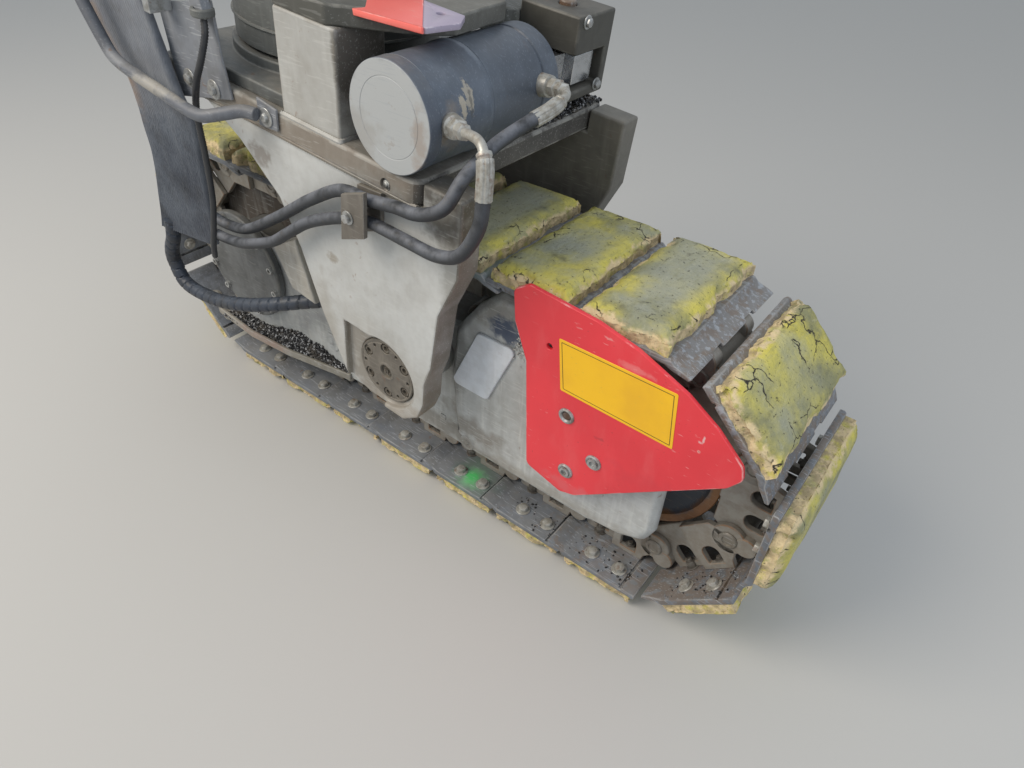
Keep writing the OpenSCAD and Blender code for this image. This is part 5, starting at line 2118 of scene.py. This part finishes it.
@dataclass
class HoseGuards:
    """Flat fabric sleeve, round guide bar, clamps and the bolted plate behind them."""

    bar_r: float = 0.0105
    sleeve_half: float = 10.0
    sleeve_y: float = -270.0
    ribs: int = 24
    across: int = 144
    rows: int = 36
    plate_bolts: tuple[Point, ...] = ((-440, -252, 404), (-373, -252, 406))
    plate_rivet: Point = (-240, -251.5, 404)
    clamp_bolt: Point = (-22, -283, 333)
    ring_at: Point = (-0.352, -0.262, 0.532)
    sections: tuple[tuple[float, float, float, float], ...] = (
        (-686, 525, -500, 570), (-679, 470, -497, 515), (-654, 420, -484, 472), (-612, 364, -466, 416),
        (-602, 322, -446, 370), (-598, 285, -424, 338), (-592, 213, -426, 272), (-610, 118, -428, 184),
        (-629, 44, -431, 87))
    guide: tuple[Point, ...] = (
        (-250, -262, 408), (-275, -270, 407), (-301, -290, 399), (-332, -306, 389), (-371, -310, 389),
        (-448, -310, 396), (-525, -310, 403), (-553, -310, 407), (-574, -310, 415), (-588, -310, 430),
        (-612, -310, 462), (-632, -310, 494), (-640, -309, 526), (-642, -304, 560), (-632, -290, 582),
        (-605, -276, 592), (-560, -270, 598), (-510, -270, 602), (-470.3, -270, 602))

    def section(self, row: float) -> tuple[Vector, Vector]:
        """Both edges of the sleeve, on a smooth curve through its sections.

        Args:
            row: Where along it, counted in sections from its top.

        Returns:
            The left and the right edge in x and z, in millimetres.
        """
        last = len(self.sections) - 1
        k = min(int(row), last - 1)
        t = row - k
        picks = [self.sections[min(max(k + d, 0), last)] for d in (-1, 0, 1, 2)]
        a, b, c, d = (Vector(p) for p in picks)
        smooth = 0.5 * (
            2 * b + (c - a) * t + (2 * a - 5 * b + 4 * c - d) * t * t + (3 * b - a - 3 * c + d) * t ** 3)
        return Vector((smooth[0], smooth[1])), Vector((smooth[2], smooth[3]))

    def sleeve(self, material: Material) -> None:
        """Builds the flat sleeve, ribbed along its lower half, and marks its frayed left edge.

        Args:
            material: Its finish.
        """
        place = YOKE.matrix()
        rings = []
        for step in range(self.rows + 1):
            row = (len(self.sections) - 1) * step / self.rows
            left, right = self.section(row)
            deep = self.sleeve_half * (0.86 + 0.12 * noise.noise(Vector((row * 2.1, 0.5, 0.0))))
            along = (right - left).normalized()
            first, width = left + along * deep, (right - left).length - 2 * deep
            low = min(1.0, max(0.0, (row - 3.6) / 1.6))
            ring = []
            for face in (-1, 1):
                for k in range(self.across + 1):
                    part = k / self.across if face < 0 else 1 - k / self.across
                    wave = (0.5 + 0.5 * math.cos(math.tau * part * self.ribs)) * (3.2 * low + 0.3)
                    sag = 1.6 * noise.noise(Vector((part * 5, row * 2.2, face * 3.0)))
                    spot = first + along * (width * part)
                    thick = deep - wave - 0.8 + sag * 0.5
                    ring.append(Vector((spot.x, self.sleeve_y + face * thick, spot.y)))
                for k in range(1, 7):
                    turn = math.pi * k / 7
                    end = first + along * (width if face < 0 else 0.0)
                    end += along * math.sin(turn) * deep * (-face)
                    ring.append(Vector((end.x, self.sleeve_y + face * math.cos(turn) * deep, end.y)))
            rings.append([place @ (point * MM) for point in ring])
        shape = Shape()
        loft(shape, rings)
        back = place.inverted()
        for face in shape.bm.faces:
            middle = back @ face.calc_center_median()
            row = min(range(self.rows + 1), key=lambda k: abs(
                self.section((len(self.sections) - 1) * k / self.rows)[0].y * MM - middle.z))
            left = self.section((len(self.sections) - 1) * row / self.rows)[0]
            upper = min(1.0, max(0.0, (middle.z - 0.27) / 0.08))
            face[shape.edge] = upper * max(0.0, 1 - (middle.x - left.x * MM) / 0.034)
        shape.finish("sleeve_web", Body.YOKE, "sleeve_fabric", material, ("hose_sleeve",), 60.0)

    def bar(self) -> None:
        """Builds the bent guide bar."""
        line = smooth_route(YOKE.route(self.guide), 0.008)
        shape = Shape()
        sweep(shape, line, lambda gone, turn: self.bar_r, 20)
        shape.round_edges(0.001, 1, 60.0)
        # Both marks are painted highlights along the bar's front.
        marks = (Mark((-450, -312, 402), (75, 14, 13), "b3aea2", 0.6, 1.2, 14.0, 0.9, True),
                 Mark((-560, -312, 416), (30, 14, 20), "94979b", 0.45, 1.2, 14.0, 0.9, True))
        paint = WeatheredSteel(
            "bar_enamel", "5b5f66", "686c73", stain="434240", rust="7a5a40", pale="8b8e92", dust="827f79",
            dusting=0.5, scratches=0.4, marks=marks).material()
        shape.finish("guide_bar_dressed", Body.YOKE, "bar_steel", paint, ("guide_bar",))

    def build(self, zinc: Material, dark: Material) -> None:
        """Builds the guards and clamps.

        Args:
            zinc: Finish of clamps and bolts.
            dark: Finish of what is painted dark.
        """
        self.sleeve(SleeveFabric().material())
        self.bar()
        plate = WeatheredSteel("bolted_plate_enamel", "747880", "868a90", stain="4f4c46", rust="7a5a40",
                               pale="a9adb1", scratches=0.6).material()
        Dressed("bolted_plate", Body.YOKE, "yoke_steel", 0.002).build(plate)
        clamp = WeatheredSteel("clamp_enamel", "69645c", "76716a", stain="4a453d", rust="7a5a40",
                               pale="959087").material()
        Dressed("hose_clamp", Body.YOKE, "zinc_steel", 0.001).build(clamp)
        Dressed("bar_bracket", Body.YOKE, "zinc_steel", 0.002).build(plate)
        Dressed("sleeve_clamp", Body.YOKE, "zinc_steel", 0.001).build(zinc)
        Dressed("hose_coupling", Body.YOKE, "zinc_steel", 0.002).build(zinc)
        shape = Shape()
        shape.stamp(
            fastener(Head.HEXAGON, 0.0095, 0.006, 1.7), [on_yoke(*spot) for spot in self.plate_bolts])
        shape.stamp(fastener(Head.DOMED, 0.0085, 0.005, 1.8), [on_yoke(*self.plate_rivet)])
        shape.stamp(fastener(Head.HEXAGON, 0.008, 0.006, 1.4), [on_yoke(*self.clamp_bolt)])
        shape.finish("guard_fasteners", Body.YOKE, "zinc_steel", zinc)
        ring = Shape()
        turned = upright(self.ring_at)
        ring.lathe([(0.0125, -0.006), (0.0165, -0.006), (0.018, -0.004), (0.018, 0.004), (0.0165, 0.006),
                    (0.0125, 0.006), (0.0125, -0.006)], turned, 40)
        ring.finish("conduit_ring", Body.YOKE, "zinc_steel", dark)


# Crushed asphalt


@dataclass
class CrushedAsphalt:
    """Grains of crushed asphalt on the tray, on the saddle, on the casing and in the track's bend."""

    seed: int = 5
    rise: float = 0.046
    tray_ends: tuple[float, float] = (-0.625, -0.195)
    tray_y: float = -0.1125
    tray_z: float = 0.1302
    tray_grains: int = 1500
    bed_steps: int = 60
    saddle_z: float = 0.4195
    saddle_grains: int = 620
    bend_links: tuple[int, int] = (5, 9)
    bend_grains: int = 70
    casing_spot: Point = (0.312, -0.137, 0.470)
    casing_grains: int = 46

    def pile(self, x: float) -> tuple[float, float]:
        """Width and height of the heap in the tray at a place along x, in metres."""
        wide = 0.036 * min(1.0, (-0.183 - x) / 0.20) if x > -0.503 else 0.040
        swell = math.exp(-((x + 0.33) / 0.13) ** 2) + 0.35 * noise.noise(Vector((x * 17, 2.0, 0.0)))
        return max(0.004, wide), max(0.004, self.rise * max(0.12, swell))

    def grain(self, rng: random.Random, low: float, high: float) -> Shape:
        """One broken grain.

        Args:
            rng: The heap's random numbers.
            low: Smallest radius.
            high: Largest radius.

        Returns:
            The grain, around the origin.
        """
        shape = Shape()
        size = rng.uniform(low, high)
        squash = Matrix.Diagonal((size * rng.uniform(0.7, 1.3), size * rng.uniform(0.7, 1.3),
                                  size * rng.uniform(0.5, 0.9), 1.0))
        turn = Matrix.Rotation(
            rng.uniform(0, math.tau), 4, Vector((rng.random(), rng.random(), 1)).normalized())
        bmesh.ops.create_icosphere(shape.bm, subdivisions=1, radius=1.0, matrix=turn @ squash)
        return shape

    def heap(self, name: str, body: Body, spots: list[Vector], low: float, high: float,
             material: Material) -> None:
        """Scatters grains.

        Args:
            name: The piece's name.
            body: What they lie on.
            spots: Middle of each grain.
            low: Smallest radius.
            high: Largest radius.
            material: Their finish.
        """
        rng = random.Random(self.seed)
        shape = Shape()
        for spot in spots:
            shape.stamp(self.grain(rng, low, high), [Matrix.Translation(spot)])
        shape.finish(name, body, "frame_steel", material, (), 20.0)

    def build(self, track: TrackLoop) -> None:
        """Builds every heap.

        Args:
            track: The track whose bend holds some of the grains.
        """
        rng = random.Random(self.seed + 1)
        bitumen = Bitumen().material()
        tray = []
        rings = []
        (first, last), y, z = self.tray_ends, self.tray_y, self.tray_z
        for step in range(self.bed_steps + 1):
            x = first + (last - first) * step / self.bed_steps
            wide, high = self.pile(x)
            wide, high = max(0.003, wide - 0.003), max(0.0015, high - 0.003)
            corners = ((0.0, 0.0), (wide, 0.0), (wide * 0.5, high * 0.62), (0.0, high))
            rings.append([Vector((x, y - out, z + up)) for out, up in corners])
        bed = Shape()
        loft(bed, rings)
        bed.finish("tray_asphalt_bed", Body.TRACK, "frame_steel", bitumen, (), 20.0)
        for _ in range(self.tray_grains):
            x = rng.uniform(first, last)
            wide, high = self.pile(x)
            out = rng.random() ** 0.9
            up = high * (1 - out) ** 1.15 + 0.002 * rng.random()
            tray.append(Vector((x, y - 0.0005 - wide * out, z + 0.0003 + up)))
        self.heap("tray_asphalt", Body.TRACK, tray, 0.0022, 0.0048, bitumen)
        saddle = []
        for _ in range(self.saddle_grains):
            y = -0.06 + 0.30 * rng.random() ** 0.75
            deep = 0.018 + 0.040 * min(1.0, max(0.0, (y + 0.06) / 0.2))
            x = 0.080 - deep * rng.random() ** 1.2
            heap = 0.012 * max(0.0, 1 - abs(y - 0.17) / 0.10) * min(1.0, (0.084 - x) / 0.02)
            saddle.append(YOKE.matrix() @ Vector((x, y, self.saddle_z + (0.002 + heap) * rng.random())))
        self.heap("saddle_asphalt", Body.YOKE, saddle, 0.0020, 0.0042, bitumen)
        bend = []
        for place in track.links()[slice(*self.bend_links)]:
            for _ in range(self.bend_grains):
                side = rng.choice((-1, -1, 1))
                spot = Vector((rng.uniform(-0.06, 0.085), side * (0.076 + 0.07 * rng.random()), -0.0585))
                bend.append(place @ spot)
        self.heap("bend_grit", Body.TRACK, bend, 0.0012, 0.0032, bitumen)
        x, y, z = self.casing_spot
        crumb = [Vector((x + rng.gauss(0, 0.006), y - 0.002 * rng.random(), z + rng.gauss(0, 0.012)))
                 for _ in range(self.casing_grains)]
        pale = Bitumen("stone_dust_crumbs", "8d8c86", "dcdcd8", 0.42).material()
        self.heap("casing_crumbs", Body.TRACK, crumb, 0.0012, 0.0030, pale)


# Everything


def main() -> None:
    """Builds the machine's pieces in order and reports each one."""
    logging.basicConfig(level=logging.INFO, format="%(name)s %(message)s")
    studio = Studio()
    studio.camera()
    Hoses().build()
    studio.floor()
    studio.light()
    zinc = PlatedSteel("zinc").material()
    paint = WeatheredSteel("frame_enamel", "7b7c77", "8b8c87", stain="4f4a40", stains=0.5).material()
    dark = WeatheredSteel("column_enamel", "5d605f", "6c6f6d", stain="3f3c36", rust="6d4a30", chip="8a8982",
                          pale="8f918d", dust="85827a", stains=0.5, dusting=0.7).material()
    track = TrackLoop()
    track.build()
    Wheels().build(zinc)
    TrackFrame().build(paint)
    Guard().build(zinc)
    YokeParts().build(dark)
    Column().build(dark, zinc)
    Cylinder().build()
    HoseGuards().build(zinc, dark)
    CrushedAsphalt().build(track)


if __name__ == "__main__":
    main()
